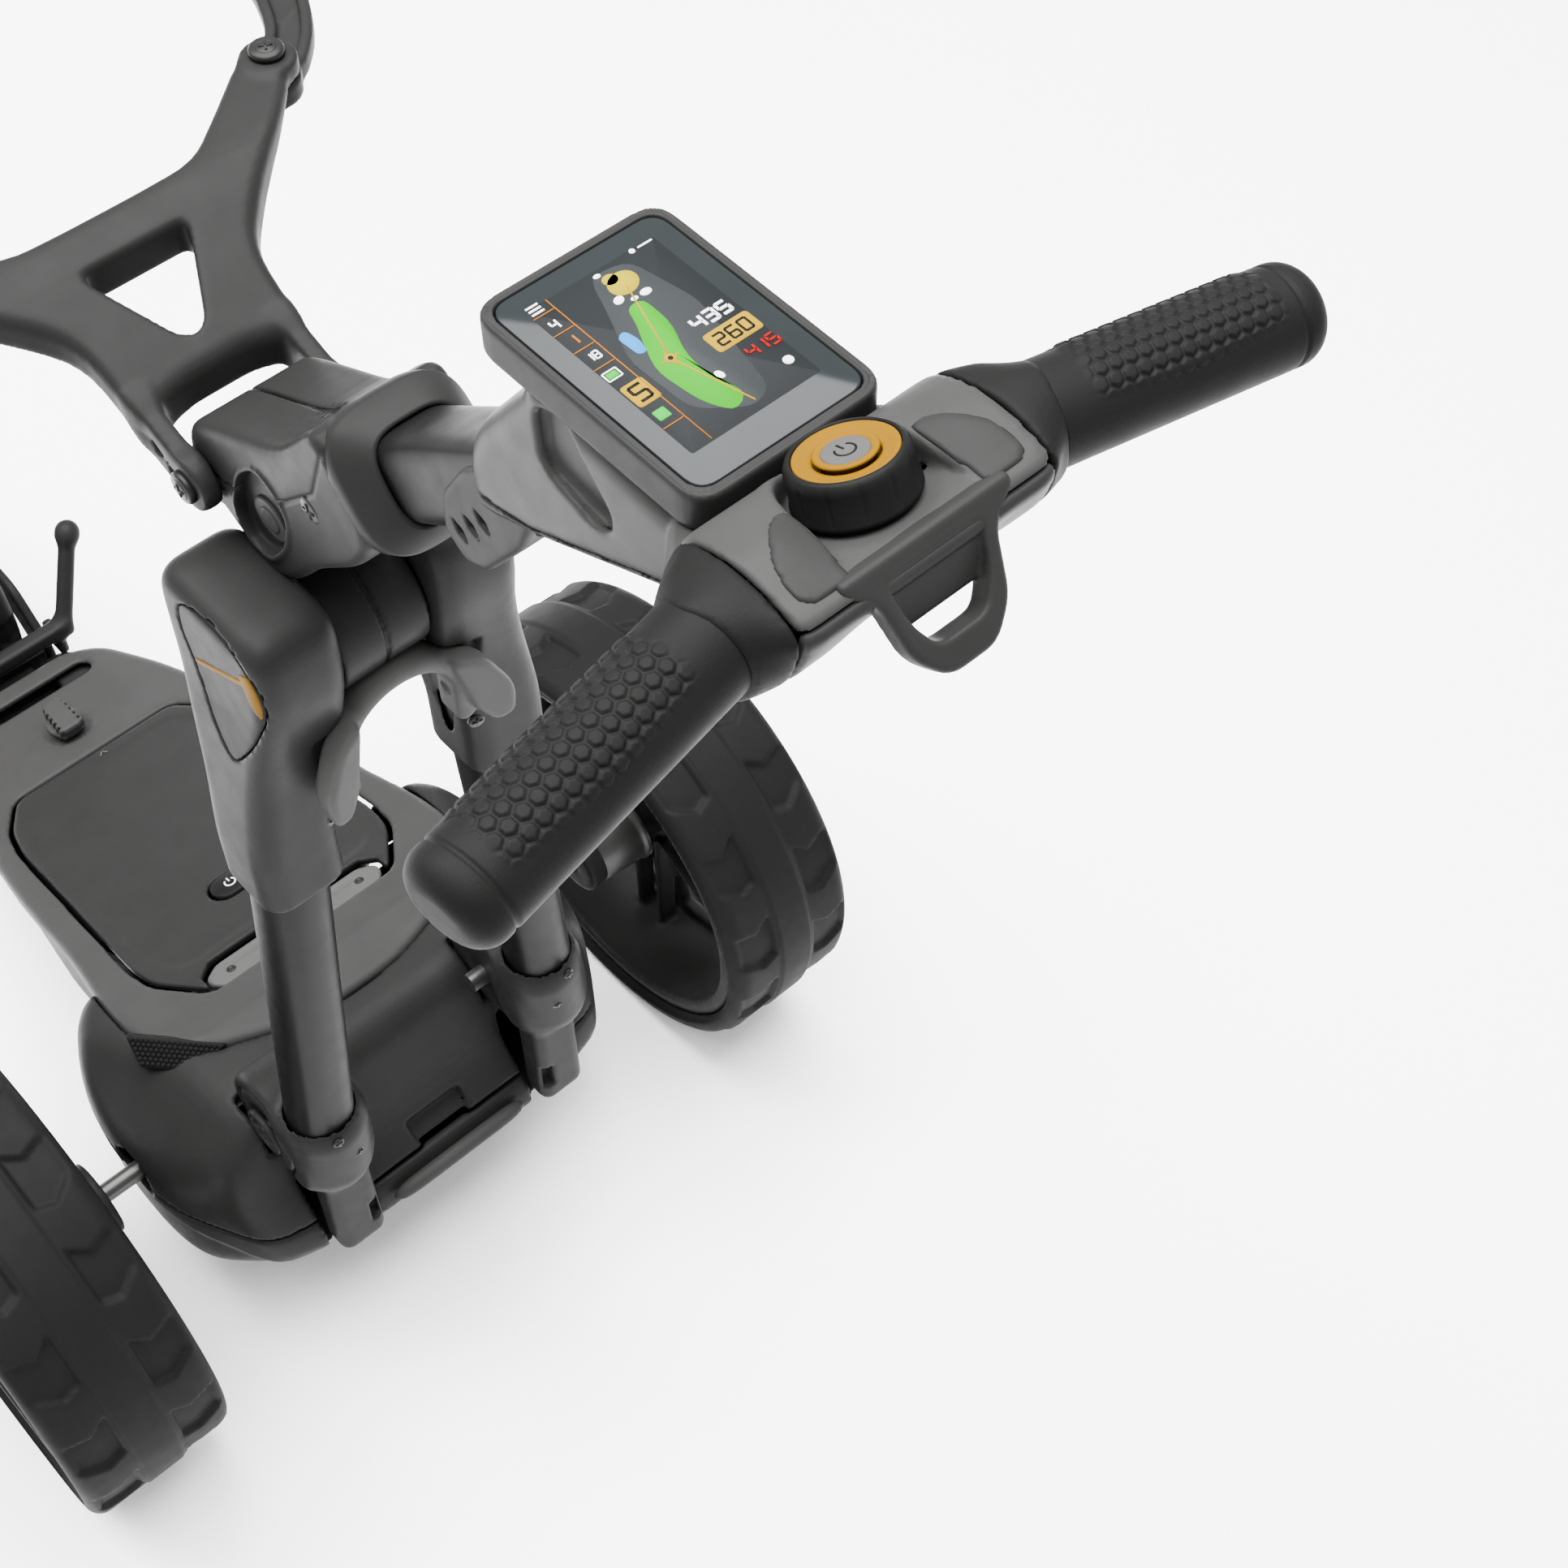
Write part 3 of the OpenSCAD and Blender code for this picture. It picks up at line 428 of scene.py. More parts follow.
def net(g, field):
    """Surface of a distance field as points and quads, one point in each cell that it crosses."""
    f = np.array(np.broadcast_to(field, g.shape), np.float32)
    for axis in range(3):
        edge = [slice(None)] * 3
        for end in (0, -1):
            edge[axis] = end
            f[tuple(edge)] = np.maximum(f[tuple(edge)], 0.2 * g.step)
    solid = f < 0
    total = np.zeros([n - 1 for n in g.shape], np.int8)
    for i, j, k in CORNERS:
        total += solid[i : g.shape[0] - 1 + i, j : g.shape[1] - 1 + j, k : g.shape[2] - 1 + k]
    mixed = (total > 0) & (total < 8)
    cells = np.argwhere(mixed)
    number = np.full(mixed.shape, -1, np.int32)
    number[mixed] = np.arange(len(cells))
    values = np.stack([f[tuple((cells + c).T)] for c in CORNERS], 1)
    place, count = np.zeros((len(cells), 3)), np.zeros(len(cells))
    for a, b in EDGES:
        va, vb = values[:, a], values[:, b]
        cross = (va < 0) != (vb < 0)
        t = np.where(cross, va / np.where(cross, va - vb, 1), 0)[:, None]
        place += np.where(cross[:, None], CORNERS[a] + (CORNERS[b] - CORNERS[a]) * t, 0)
        count += cross
    points = g.low + g.step * (cells + place / count[:, None])
    quads = []
    for axis in range(3):
        u, v = (axis + 1) % 3, (axis + 2) % 3
        here, there = [slice(1, None)] * 3, [slice(1, None)] * 3
        here[axis], there[axis] = slice(0, -1), slice(1, None)
        first, second = solid[tuple(here)], solid[tuple(there)]
        start = np.argwhere(first != second)
        inward = first[tuple(start.T)]
        offset = np.ones(3, int)
        offset[axis] = 0
        e = start + offset
        keep = (e[:, u] < mixed.shape[u]) & (e[:, v] < mixed.shape[v])
        e, inward = e[keep], inward[keep]
        du, dv = np.eye(3, dtype=int)[u], np.eye(3, dtype=int)[v]
        ring = np.stack([number[tuple((e - s).T)] for s in (du + dv, dv, 0 * du, du)], 1)
        ring[~inward] = ring[~inward][:, ::-1]
        quads.append(ring)
    return points, np.vstack(quads)


def cast(name, g, field, mat, body, *nodes, slot=None):
    """Piece made from a distance field."""
    piece(name, net(g, field), mat, body, *nodes, slot=slot)


# ---- wheels ----


def bump_up(value, edge):
    """0 below -edge, 1 above edge, smooth between."""
    t = np.clip(value / edge * 0.5 + 0.5, 0, 1)
    return t * t * (3 - 2 * t)


def tyre_shape(centre, radius, width, bead, shoulder, pockets, depth, steps):
    """Tyre with a flat crown, a raised middle band and a ring of bent pockets on each side of it."""
    h = width / 2
    band = width * 0.13
    crown = radius - 1.2
    lateral = np.linspace(-h + shoulder, h - shoulder, 61)
    profile = [(-h + 9, bead), (-h + 3, bead), (-h + 0.5, bead + 3), (-h, crown - shoulder - 2)]
    for a in np.linspace(0, 90, 7):
        profile.append((-h + shoulder - shoulder * math.cos(math.radians(a)),
                        crown - shoulder + shoulder * math.sin(math.radians(a))))
    for s in lateral[1:-1]:
        profile.append((s, crown + 1.2 * float(bump_up(band - abs(s), 1.2))))
    for a in np.linspace(90, 0, 7):
        profile.append((h - shoulder + shoulder * math.cos(math.radians(a)),
                        crown - shoulder + shoulder * math.sin(math.radians(a))))
    profile += [(h, crown - shoulder - 2), (h - 0.5, bead + 3), (h - 3, bead), (h - 9, bead)]
    profile = np.array(profile)
    turn = np.arange(steps) * 2 * math.pi / steps
    pitch = 2 * math.pi / pockets
    s = profile[None, :, 0]
    reach = (np.abs(s) - band) / (h - band)
    bend = 0.30 * np.abs(reach - 0.42) * pitch
    shift = np.where(s > 0, 0.5, 0) * pitch
    phase = (turn[:, None] + shift + bend + pitch / 2) % pitch - pitch / 2
    across = (0.29 - 0.1 * reach) * pitch - np.abs(phase - 0.06 * pitch)
    mask = bump_up(across * radius, 1.6)
    mask = mask * bump_up((reach - 0.1) * h, 1.6) * bump_up((0.84 - reach) * h, 2.0)
    mask = mask * (profile[None, :, 1] > bead + 6)
    r = profile[None, :, 1] - depth * mask
    rings = np.stack([np.broadcast_to(centre[0] + s, r.shape), centre[1] + r * np.cos(turn)[:, None],
                      centre[2] + r * np.sin(turn)[:, None]], -1)
    return strip(rings, close_ends=True)


def rim_field(g, centre, radius, width, spokes):
    """Barrel with its flanges, and the coordinates that the spokes are cut with."""
    x = (g.x - centre[0]) if centre[0] > 0 else g.x
    y, z = g.y - centre[1], g.z - centre[2]
    rho = np.hypot(y, z)
    sector = 2 * math.pi / spokes
    angle = np.arctan2(y, z)
    fold = np.abs((angle + sector / 2) % sector - sector / 2)
    offset = rho * np.sin(np.minimum(fold, math.pi / 2))
    h = width / 2
    wall = common(np.abs(rho - (radius - 7.5)) - 2.4, np.abs(x) - (h - 4.4), 2)
    for side in (-1, 1):
        wall = union(wall, common(np.abs(rho - (radius - 5)) - 5, span(x * side, h - 8.5, h - 4.2), 2), 3)
    return x, rho, offset, wall


def rear_rim(side):
    """Rim of a rear wheel: the right one is worked out and the left one is its mirror image."""
    centre = (HALF_TRACK, 0, REAR_R)
    radius = 135.5
    g = Grid((177, -140, REAR_R - 140), (HALF_TRACK + 45, 140, REAR_R + 140), 2.4)
    x, rho, offset, field = rim_field(g, centre, radius, REAR_W, 6)
    dish = 14 + 8 * np.clip((rho - 30) / 90, 0, 1)
    disc = common(span(x - dish, -4.5, 4.5), rho - (radius - 8), 2)
    window = common(common(15 - offset, 46 - rho, 4), rho - (radius - 18), 4)
    slot = common(common(offset - 1.0 - 0.045 * (rho - 40), 48 - rho, 2), rho - (radius - 22), 2)
    disc = less(disc, window, 2.5)
    disc = less(disc, slot, 2)
    rib = common(np.abs(offset - 11) - 2.2, common(span(x, -2, 12), span(rho, 26, radius - 9), 2), 1.5)
    field = union(union(field, disc, 3), rib, 3)
    cone = common(rho - (22 - 0.1 * (x + 40)), span(x, -62, 34), 3)
    field = union(field, common(rho - 31, span(x, 6, 28), 4), 5)
    field = union(field, cone, 5)
    field = less(field, rho - 6.6)
    field = less(field, common(rho - 15.4, span(x, 15, 60)))
    shape = sided(net(g, field), side)
    name = "right" if side > 0 else "left"
    piece("rim_" + name, shape, "rim_plastic", "wheel_" + name, "rear_rim_" + name)
    sleeve = turned((HALF_TRACK - 52, 0, REAR_R), (1, 0, 0), [(12, 0), (20, 0), (23.4, 3), (25.5, 30),
                                                              (25.5, 33), (27, 34), (27, 37), (24, 38),
                                                              (12, 38)])
    piece("rim_sleeve_" + name, sided(sleeve, side), "rim_metal", "wheel_" + name, slot="rim_plastic")
    cap = turned((HALF_TRACK + REAR_W * 0.2 + 4, 0, REAR_R), (1, 0, 0), [(4, 0), (14.4, 0), (14.4, 9.6),
                                                                         (13.4, 11), (11.2, 11),
                                                                         (10.8, 13.2), (9.6, 14), (7, 12.6),
                                                                         (0.5, 12.2)])
    piece("hub_button_" + name, sided(cap, side), "release_grey", "release_" + name, "hub_release_" + name)


def rear_wheel(side):
    """One rear wheel with its tyre, rim and release button."""
    name = "right" if side > 0 else "left"
    shape = tyre_shape((side * HALF_TRACK, 0, REAR_R), REAR_R, REAR_W, 135.7, 10, 15, 3.6, 512)
    piece("tyre_" + name, shape, "tyre", "wheel_" + name, "rear_tyre_" + name)
    rear_rim(side)


def front_wheel():
    """Front tyre and its rim."""
    centre = (0, WHEELBASE, FRONT_R)
    shape = tyre_shape(centre, FRONT_R, FRONT_W, 83.4, 11, 15, 3.4, 420)
    piece("tyre_front", shape, "tyre", "front_wheel", "front_tyre")
    g = Grid((-30, WHEELBASE - 90, FRONT_R - 90), (30, WHEELBASE + 90, FRONT_R + 90), 2.0, mirror=False)
    x, rho, offset, field = rim_field(g, centre, 86.5, 56, 6)
    disc = common(span(x, -8, 8), rho - 80, 2)
    window = common(common(9 - offset, 27 - rho, 4), rho - 70, 4)
    slot = common(common(offset - 1.6, 30 - rho, 2), rho - 66, 2)
    field = union(field, less(less(disc, window, 3), slot, 2), 3)
    field = union(field, common(rho - 19, span(x, -25.6, 25.6), 4), 5)
    field = less(field, rho - 5.6)
    cast("rim_front", g, field, "rim_plastic", "front_wheel", "front_rim")


# ---- rear housing and tray ----

HOUSING_SIDE = [(96, 66), (96, 203), (44, 221), (-4, 237.4), (-34, 240), (-56, 242), (-70, 230), (-86, 176),
                (-111, 141), (-114, 128), (-92, 112), (-40, 70), (20, 60)]
HOUSING_BACK = [(-60, 56), (90, 56), (140, 64), (158, 86), (161, 150), (154, 178), (128, 214), (104, 236),
                (70, 246), (-60, 246)]
HOUSING_PLAN = [(-60, -116), (70, -116), (118, -98), (129, -84), (152, -40), (161, -12), (161, 30),
                (150, 64), (120, 98), (-60, 98)]
BASE_PIVOT = (0, -80, 244)
WELL = [(-50, 26), (66, 26), (88, 60), (91, 84), (85, 240), (80, 265), (62, 293), (-50, 293)]
TRAY = [(-50, -36), (20, -35.5), (50, -28), (88, -12), (103, 4), (117, 32), (117, 70), (109, 130),
        (106, 200), (96, 285), (84, 345), (66, 400), (44, 418), (-50, 418)]
TRAY_FLOOR = [(-50, 99), (88, 99), (97, 130), (96, 200), (87, 285), (74, 345), (58, 398), (48, 430),
              (-50, 430)]
LID_SLOPE = math.radians(19)
LID_REF = (109, 200)
BUTTON_Y = 98
KNOB_Y = 331


def lid_z(y):
    """Height of the battery lid's plane."""
    return LID_REF[1] - math.tan(LID_SLOPE) * (y - LID_REF[0])


def over_lid(g):
    """Distance above the lid's sloping plane, level behind y = -4."""
    return np.maximum((g.z - lid_z(g.y)) * math.cos(LID_SLOPE), g.z - 238)


def housing():
    """Two-part shell round the drive, open where the leg sockets turn and where the tray lies."""
    g = Grid((-166, -122, 54), (166, 102, 250), 2.0)
    side = side_outline(g, HOUSING_SIDE, 16)
    back = front_outline(g, HOUSING_BACK, 22)
    plan = plan_outline(g, HOUSING_PLAN, 22)
    outer = common(common(side, back, 16), plan, 16)
    outer = outer + 2.4 * np.clip((126 + 0.18 * (g.y + 90) - g.z) / 8, 0, 1) * np.clip((g.x - 60) / 20, 0,
                                                                                       1)
    shell = common(outer, -(outer + 3.6))
    room = barrel(g, BASE_PIVOT, 37.2, 55.6, 98, 1.5)
    room = union(room, block(g.x, g.y, g.z, (75, -108, 178), (17, 30, 58), 6), 1)
    room = union(room, block(g.x, g.y, g.z, (77, -124, 246), (23.5, 44, 34), 3), 1)
    shell = less(shell, room, 1.5)
    v, w = g.tilted((0, -97, 163), 36)
    slot = block(g.x * (1 + 0.012 * np.clip(-w, -8, 8)), v, w, (0, 0, 0), (20, 9, 7.5), 3.5)
    shell = union(shell, common(slot - 3.4, outer), 1)
    shell = less(shell, slot, 2.5)
    shell = less(shell, block(g.x, g.y, g.z, (0, 64, 190), (92, 69, 56), 2), 2)
    footprint = common(plan_outline(g, TRAY, 22) - 0.8, -(over_lid(g) + 8), 0.5)
    shell = less(shell, footprint, 1)
    shell = less(shell, off_x(g, 0, REAR_R) - 17.6)
    upper = common(shell, REAR_R + 0.7 - g.z, 2)
    lower = common(shell, g.z - REAR_R + 0.7, 2)
    cast("housing_top", g, upper, "shell_dark", "chassis", "housing_upper")
    cast("housing_bottom", g, lower, "shell_dark", "chassis", "housing_lower")


def hexagon_pad():
    """Trapezium pad with a honeycomb of raised cells, on the housing's shoulder beside the tray's corner."""
    slope = math.radians(38)
    along = np.array([0.68, 0.733, 0])
    outward = np.array([0.733 * math.cos(slope), -0.68 * math.cos(slope), -math.sin(slope)])
    up = np.array([0.733 * math.sin(slope), -0.68 * math.sin(slope), math.cos(slope)])
    place = np.array([106.5, 2.5, 230])

    def at(a, b, h):
        return place + outward * a + along * b + up * h

    border = rounded([(-10, -30), (8, -18), (8, 20), (-10, 30)], 3)
    shapes = [strip([[at(a * k, b * k, h) for a, b in border] for k, h in ((1.05, -5), (1.0, 1.2),
                                                                           (0.96, 1.7))])]
    pitch = 3.1
    for row in range(-3, 3):
        for col in range(-9, 10):
            a, b = row * pitch * 0.866, (col + 0.5 * (row % 2)) * pitch
            if -23 + 0.6 * a < b < 23 - 0.5 * a and -8.4 < a < 6.8:
                cell = [(a + math.sin(t), b + math.cos(t)) for t in np.arange(6) * math.pi / 3]
                shapes.append(strip([[at(a + (p - a) * k, b + (q - b) * k, h) for p, q in cell] for k,
                                     h in ((1.6, 1.5), (1.5, 2.3), (1.1, 2.5))]))
    piece("shoulder_pads", both(joined(*shapes)), "pad_dark", "chassis", "side_pads")


def foot_bar():
    """Rounded bar that the trolley stands on when upright."""
    rings = []
    for x in np.linspace(-48, 48, 25):
        r = 5 * min(1, math.sqrt(max(0.02, 1 - (abs(x) / 48.5) ** 8)))
        rings.append([(x, -113 + r * math.cos(t),
                       142 + r * math.sin(t)) for t in np.arange(20) * math.pi / 10])
    piece("standing_bar", strip(rings), "shell_grey", "chassis", "foot_bar")


def tray():
    """Ring round the battery, floor pan, battery lid with its tab and button, and the lock knob."""
    g = Grid((-122, -38, 58), (122, 434, 242), 2.2)
    above = over_lid(g)
    edge = plan_outline(g, TRAY, 22)
    ring = common(common(edge, above, 7), -(above + 15), 2)
    ring = common(ring, -(np.maximum(edge + 4, above + 5.5)), 1.5)
    well = plan_outline(g, WELL, 8)
    ring = less(ring, well - 1.2, 2)
    slot = block(g.x, g.y, g.z, (0, 388, 90), (48, 8, 80), 7.5)
    ring = less(ring, slot, 4)
    ring = less(ring, off_z(g, 0, KNOB_Y) - 6.4, 1)
    ring = less(ring, common(off_z(g, 0, KNOB_Y) - 16, -(above + 1.6)), 1)
    room = barrel(g, BASE_PIVOT, 38, 54, 100, 2)
    ring = less(ring, room)
    ring = less(ring, block(g.x, g.y, g.z, (0, -100, 230), (53, 66, 60), 2), 2)
    cast("tray_top", g, ring, "shell_grey", "chassis", "tray_surround")

    pan_edge = plan_outline(g, TRAY_FLOOR, 10)
    pan = common(common(pan_edge, above + 8.6, 2), 58.2 - g.z, 4)
    inner = common(plan_outline(g, [(-50, 103), (84, 103), (93, 134), (92, 200), (83, 285), (66, 320),
                                    (-50, 320)], 8), 62.5 - g.z, 2)
    pan = less(pan, inner, 2)
    pan = less(pan, common(off_x(g, 418, 62) - 18.6, g.x - 25.5), 1)
    pan = less(pan, block(g.x, g.y, g.z, (0, 416, 75), (26, 26, 36), 2), 1)
    pan = less(pan, common(off_z(g, 0, KNOB_Y) - 12.4, lid_z(KNOB_Y) - 24.4 - g.z))
    cast("tray_pan", g, pan, "shell_dark", "chassis", "tray_base")

    g = Grid((-94, 22, 130), (94, 296, 232), 1.5)
    above = over_lid(g)
    plate = common(common(plan_outline(g, WELL, 8) + 1.7, above - 1.4, 3), -(above + 5.6), 1)
    recess = outline(g.x, g.y, [(-50, -2), (64.5, -2), (64.5, 40), (54.5, 48.5), (-50, 48.5)])
    plate = less(plate, recess, 1.5)
    oval = np.hypot(np.maximum(g.x - 12, 0), g.y - BUTTON_Y)
    plate = less(plate, oval - 11.4, 1.2)
    dished = plan_outline(g, [(-50, 56), (70, 56), (80, 84), (76, 236), (68, 262), (54, 280), (-50, 280)],
                          12)
    plate = common(plate, above - 1.4 + bump_up(-dished, 3), 2)
    cast("battery_top", g, plate, "battery_black", "battery", "battery_lid")

    g = Grid((-66, 22, 204), (66, 50, 232), 1.0)
    above = over_lid(g)
    tab_edge = plan_outline(g, [(-50, 25.5), (57, 25.5), (62.2, 33), (62.2, 40), (52, 46.5), (-50, 46.5)],
                            3)
    tab = common(common(tab_edge, above + 3.1, 2.5), -(above + 8.6), 1)
    tab = less(tab, common(plan_outline(g, [(-50, 38), (50, 38), (46, 43), (-50, 43)], 2), -(above + 4)),
               0.8)
    cast("release_tab", g, tab, "release_grey", "battery_tab", "battery_release_tab")

    def on_lid(x, y, h):
        n = np.array([0, math.sin(LID_SLOPE), math.cos(LID_SLOPE)])
        return np.array([x, y, lid_z(y)]) + n * h

    def lid_outline(points, y0, low, high, inset=0.6):
        loops = [[on_lid(x, y0 + y, h) for x, y in points] for h in (low, high - 0.5)]
        shrunk = [(x * (1 - inset / max(abs(x), 6)), y * (1 - inset / max(abs(y), 6))) for x, y in points]
        loops.append([on_lid(x, y0 + y, high) for x, y in shrunk])
        return strip(loops)

    oval_points = [(math.copysign(11, math.cos(t)) * min(1, abs(math.cos(t)) * 40) + 10.4 * math.cos(t),
                    10.4 * math.sin(t)) for t in (np.arange(48) + 0.5) * math.pi / 24]
    piece("power_panel", lid_outline(oval_points, BUTTON_Y, -4, 1.2), "knob_black", "battery_power",
          "battery_button")
    arc = [(3.4 * math.sin(t), 3.4 * math.cos(t)) for t in np.linspace(0.7, 2 * math.pi - 0.7, 22)]

    def by_button(u, v, h):
        return on_lid(-8 + u, BUTTON_Y + v, h)

    def near_front(u, v, h):
        return on_lid(3 + u, 284 + v, h)

    symbol = joined(stroke(arc, 0.9, 1.1, 1.5, by_button), stroke([(0, 1), (0, 2.5), (0, 4.6)], 0.9, 1.1,
                                                                  1.5, by_button))
    piece("power_symbol", symbol, "map_white", "battery_power", slot="knob_black")
    light = turned(on_lid(10, BUTTON_Y, 1.0), (0, math.sin(LID_SLOPE), math.cos(LID_SLOPE)),
                   [(0.6, -1), (1.7, 0), (1.7, 0.4), (1.2, 0.8), (0.2, 0.9)], 20)
    piece("power_lamp", light, "lamp_green", "battery_power", slot="button_yellow")
    arrow = joined(stroke([(-2.6, -2.4), (-1.3, -0.5), (0, 1.4)], 1, 1.2, 1.8, near_front),
                   stroke([(2.6, -2.4), (1.3, -0.5), (0, 1.4)], 1, 1.2, 1.8, near_front))
    piece("lid_arrow", arrow, "release_grey", "battery", slot="battery_black")
    screws = joined(*[turned(on_lid(x, 36, -3.3), (0, math.sin(LID_SLOPE), math.cos(LID_SLOPE)),
                             [(0.8, -1), (3, -0.6), (3, 0.3), (2.4, 0.8), (1.2, 0.8), (0.9, 0.2),
                              (0.2, 0.2)], 20) for x in (-47, 47)])
    piece("tab_screws", screws, "zinc_screw", "battery_tab")

    g = Grid((-14, 315, 84), (14, 354, 142), 1.0)
    top = lid_z(KNOB_Y)
    knob = common(off_z(g, 0, KNOB_Y) - 6, span(g.z, top - 15, top + 10), 1)
    knob = union(knob, common(off_z(g, 0, KNOB_Y) - 11, span(g.z, top - 22, top - 14.6), 2), 1)
    head = common(off_z(g, 0, KNOB_Y) - 12.6, span(g.z, top + 4.6, top + 10), 2)
    bar = plan_outline(g, [(-8, 317), (9.5, 317), (8, 344), (5, 348), (-8, 348)], 4)
    head = union(head, common(bar, span(g.z, top + 6, top + 17), 3), 2)
    grooves = common(np.abs((g.y + 400) % 5 - 2.5) - 0.9, 6.5 - g.x)
    knob = union(knob, less(head, common(grooves, span(g.z, top + 10, top + 18)), 0.8), 1.5)
    cast("lock_knob", g, knob, "shell_grey", "tray_lock", "tray_lock_knob")


def front_end():
    """Fork, hinge beam and cradle arms at the front."""
    g = Grid((-50, 430, 48), (50, 572, 134), 1.6)
    cheek = side_outline(g, [(434, 52), (434, 84), (468, 122), (540, 129), (564, 124), (568, 100),
                             (552, 94), (480, 90), (452, 56)], 12)
    fork = common(cheek, span(g.x, 36.5, 43.6), 2.5)
    fork = union(fork, common(off_x(g, WHEELBASE, FRONT_R) - 16, span(g.x, 36.5, 45.5), 3), 3)
    fork = less(fork, common(cheek + 6, 41.8 - g.x, 1), 1)
    fork = union(fork, common(off_x(g, WHEELBASE, FRONT_R) - 14, span(g.x, 36.5, 45.4), 2), 1)
    fork = less(fork, off_x(g, WHEELBASE, FRONT_R) - 5.4)
    cast("fork_cheeks", g, fork, "shell_dark", "front_frame", "front_fork")
    g = Grid((-98, 418, 76), (98, 464, 170), 1.6)
    arms = common(span(g.y, 424, 436), common(span(g.z, 96, 108), g.x - 58, 3), 3)
    arms = union(arms, limb(g, (54, 430, 102), (86, 452, 158), 6.2, 6), 6)
    arms = union(arms, limb(g, (86, 452, 158), (87, 453, 159), 8.6), 5)
    arms = union(arms, block(g.x, g.y, g.z, (47.5, 435.5, 90), (3.6, 11, 10), 2), 4)
    cast("cradle_arms", g, arms, "shell_dark", "front_frame", "lower_cradle")


# ---- legs ----

DRUM = (0, -119, 668)
LEG_LOW, LEG_TOP = np.array([77, -110, 270.0]), np.array([56, -126, 575.0])
LEG_BORE = 19.6
BADGE = [(-103, 690), (-107, 708), (-131, 712), (-151, 708), (-159, 696), (-160, 676), (-147, 646),
         (-131, 622), (-117, 640)]
CAP_SIDE = [(-163, 719), (-165, 676), (-150, 622), (-147, 560), (-146, 490), (-101, 490), (-101, 580),
            (-90, 640), (-86, 676), (-87, 719)]
CAP_FRONT = [(23.6, 721), (66.5, 721), (68, 660), (75, 610), (82, 560), (82.5, 490), (38, 490), (38, 560),
             (34, 590), (23.6, 630)]


def about_leg(g):
    """Distance off the leg tube's axis, and along it from the tube's lower end."""
    axis = (LEG_TOP - LEG_LOW) / np.linalg.norm(LEG_TOP - LEG_LOW)
    px, py, pz = g.x - LEG_LOW[0], g.y - LEG_LOW[1], g.z - LEG_LOW[2]
    along = px * axis[0] + py * axis[1] + pz * axis[2]
    return np.sqrt(np.maximum(px ** 2 + py ** 2 + pz ** 2 - along ** 2, 0)), along


def cap_form(g):
    """Outside of one leg cap: a side and a front outline blended, cut square at the bottom."""
    side = side_outline(g, CAP_SIDE, 26, 10)
    front = front_outline(g, CAP_FRONT, 16, 8)
    return common(common(side, front, 13), 522.5 - g.z, 2)


def cross_screw(place, axis, r=4.6, depth=1.6):
    """Sunken screw head with a cross of raised bars."""
    side, over, way = basis(axis, (0.1, 0.2, 1))
    head = turned(place, axis, [(0.8, -depth), (r, -depth), (r, -depth + 1.0), (r - 0.9, -depth + 1.6),
                                (0.3, -depth + 1.9)], 24, (0.1, 0.2, 1))
    bars = []
    for u, v in ((side, over), (over, side)):
        rings = [[np.array(place) + way * (h - depth) + u * a * r * 0.62 + v * b * 0.55 for a,
                  b in ((-1, -1), (1, -1), (1, 1), (-1, 1))] for h in (1.4, 2.3)]
        bars.append(strip(rings))
    return joined(head, *bars)


def leg_sockets():
    """Bosses round the base pivot that hold the leg tubes, with pivot caps and screws."""
    g = Grid((-100, -140, 130), (100, -40, 300), 1.6)
    boss = barrel(g, BASE_PIVOT, 36, 57, 96, 6)
    sleeve = limb(g, (77, -110, 240), (75.4, -111.4, 276), 24.6)
    sleeve = common(sleeve, g.z - 296, 3)
    boss = union(boss, sleeve, 12)
    boss = union(boss, block(g.x, g.y, g.z, (75, -110, 190), (15.2, 11.5, 55), 7), 9)
    boss = less(boss, common(np.abs(off_x(g, -80, 244) - 28) - 1.2, 93.8 - g.x), 1)
    boss = less(boss, block(g.x, g.y, g.z, (65, -121, 164), (3.2, 7, 11), 1), 0.8)
    boss = less(boss, common(off_x(g, -80, 244) - 16.4, 94.6 - g.x), 1)
    off, along = about_leg(g)
    boss = less(boss, common(off - LEG_BORE, -along), 1)
    cast("leg_bosses", g, boss, "shell_dark", "legs", "leg_sockets")
    g = Grid((96, -97, 227), (101.5, -63, 261), 0.8, mirror=False)
    radius = off_x(g, -80, 244)
    cap = common(radius - 15, span(g.x, 96.7, 100.4), 1.6)
    angle = np.arctan2(g.y + 80, g.z - 244)
    third = 2 * math.pi / 3
    fold = np.abs((angle + third / 2) % third - third / 2)
    spokes = radius * np.sin(np.minimum(fold, 1.57)) - 1.7
    cap = less(cap, common(common(span(radius, 4.4, 11.6), -spokes, 1), 98.4 - g.x), 0.8)
    shape = both(net(g, cap))
    piece("pivot_covers", shape, "shell_dark", "legs", "pivot_caps")
    screws = [cross_screw((96.2, -98, 268), (1, 0, 0), 4), cross_screw((80, -134.8, 284), (0.1, -1, 0),
                                                                       3.6),
              cross_screw((70, -134.6, 262), (-0.1, -1, 0), 3.6)]
    piece("boss_screws", both(joined(*screws)), "zinc_screw", "legs")


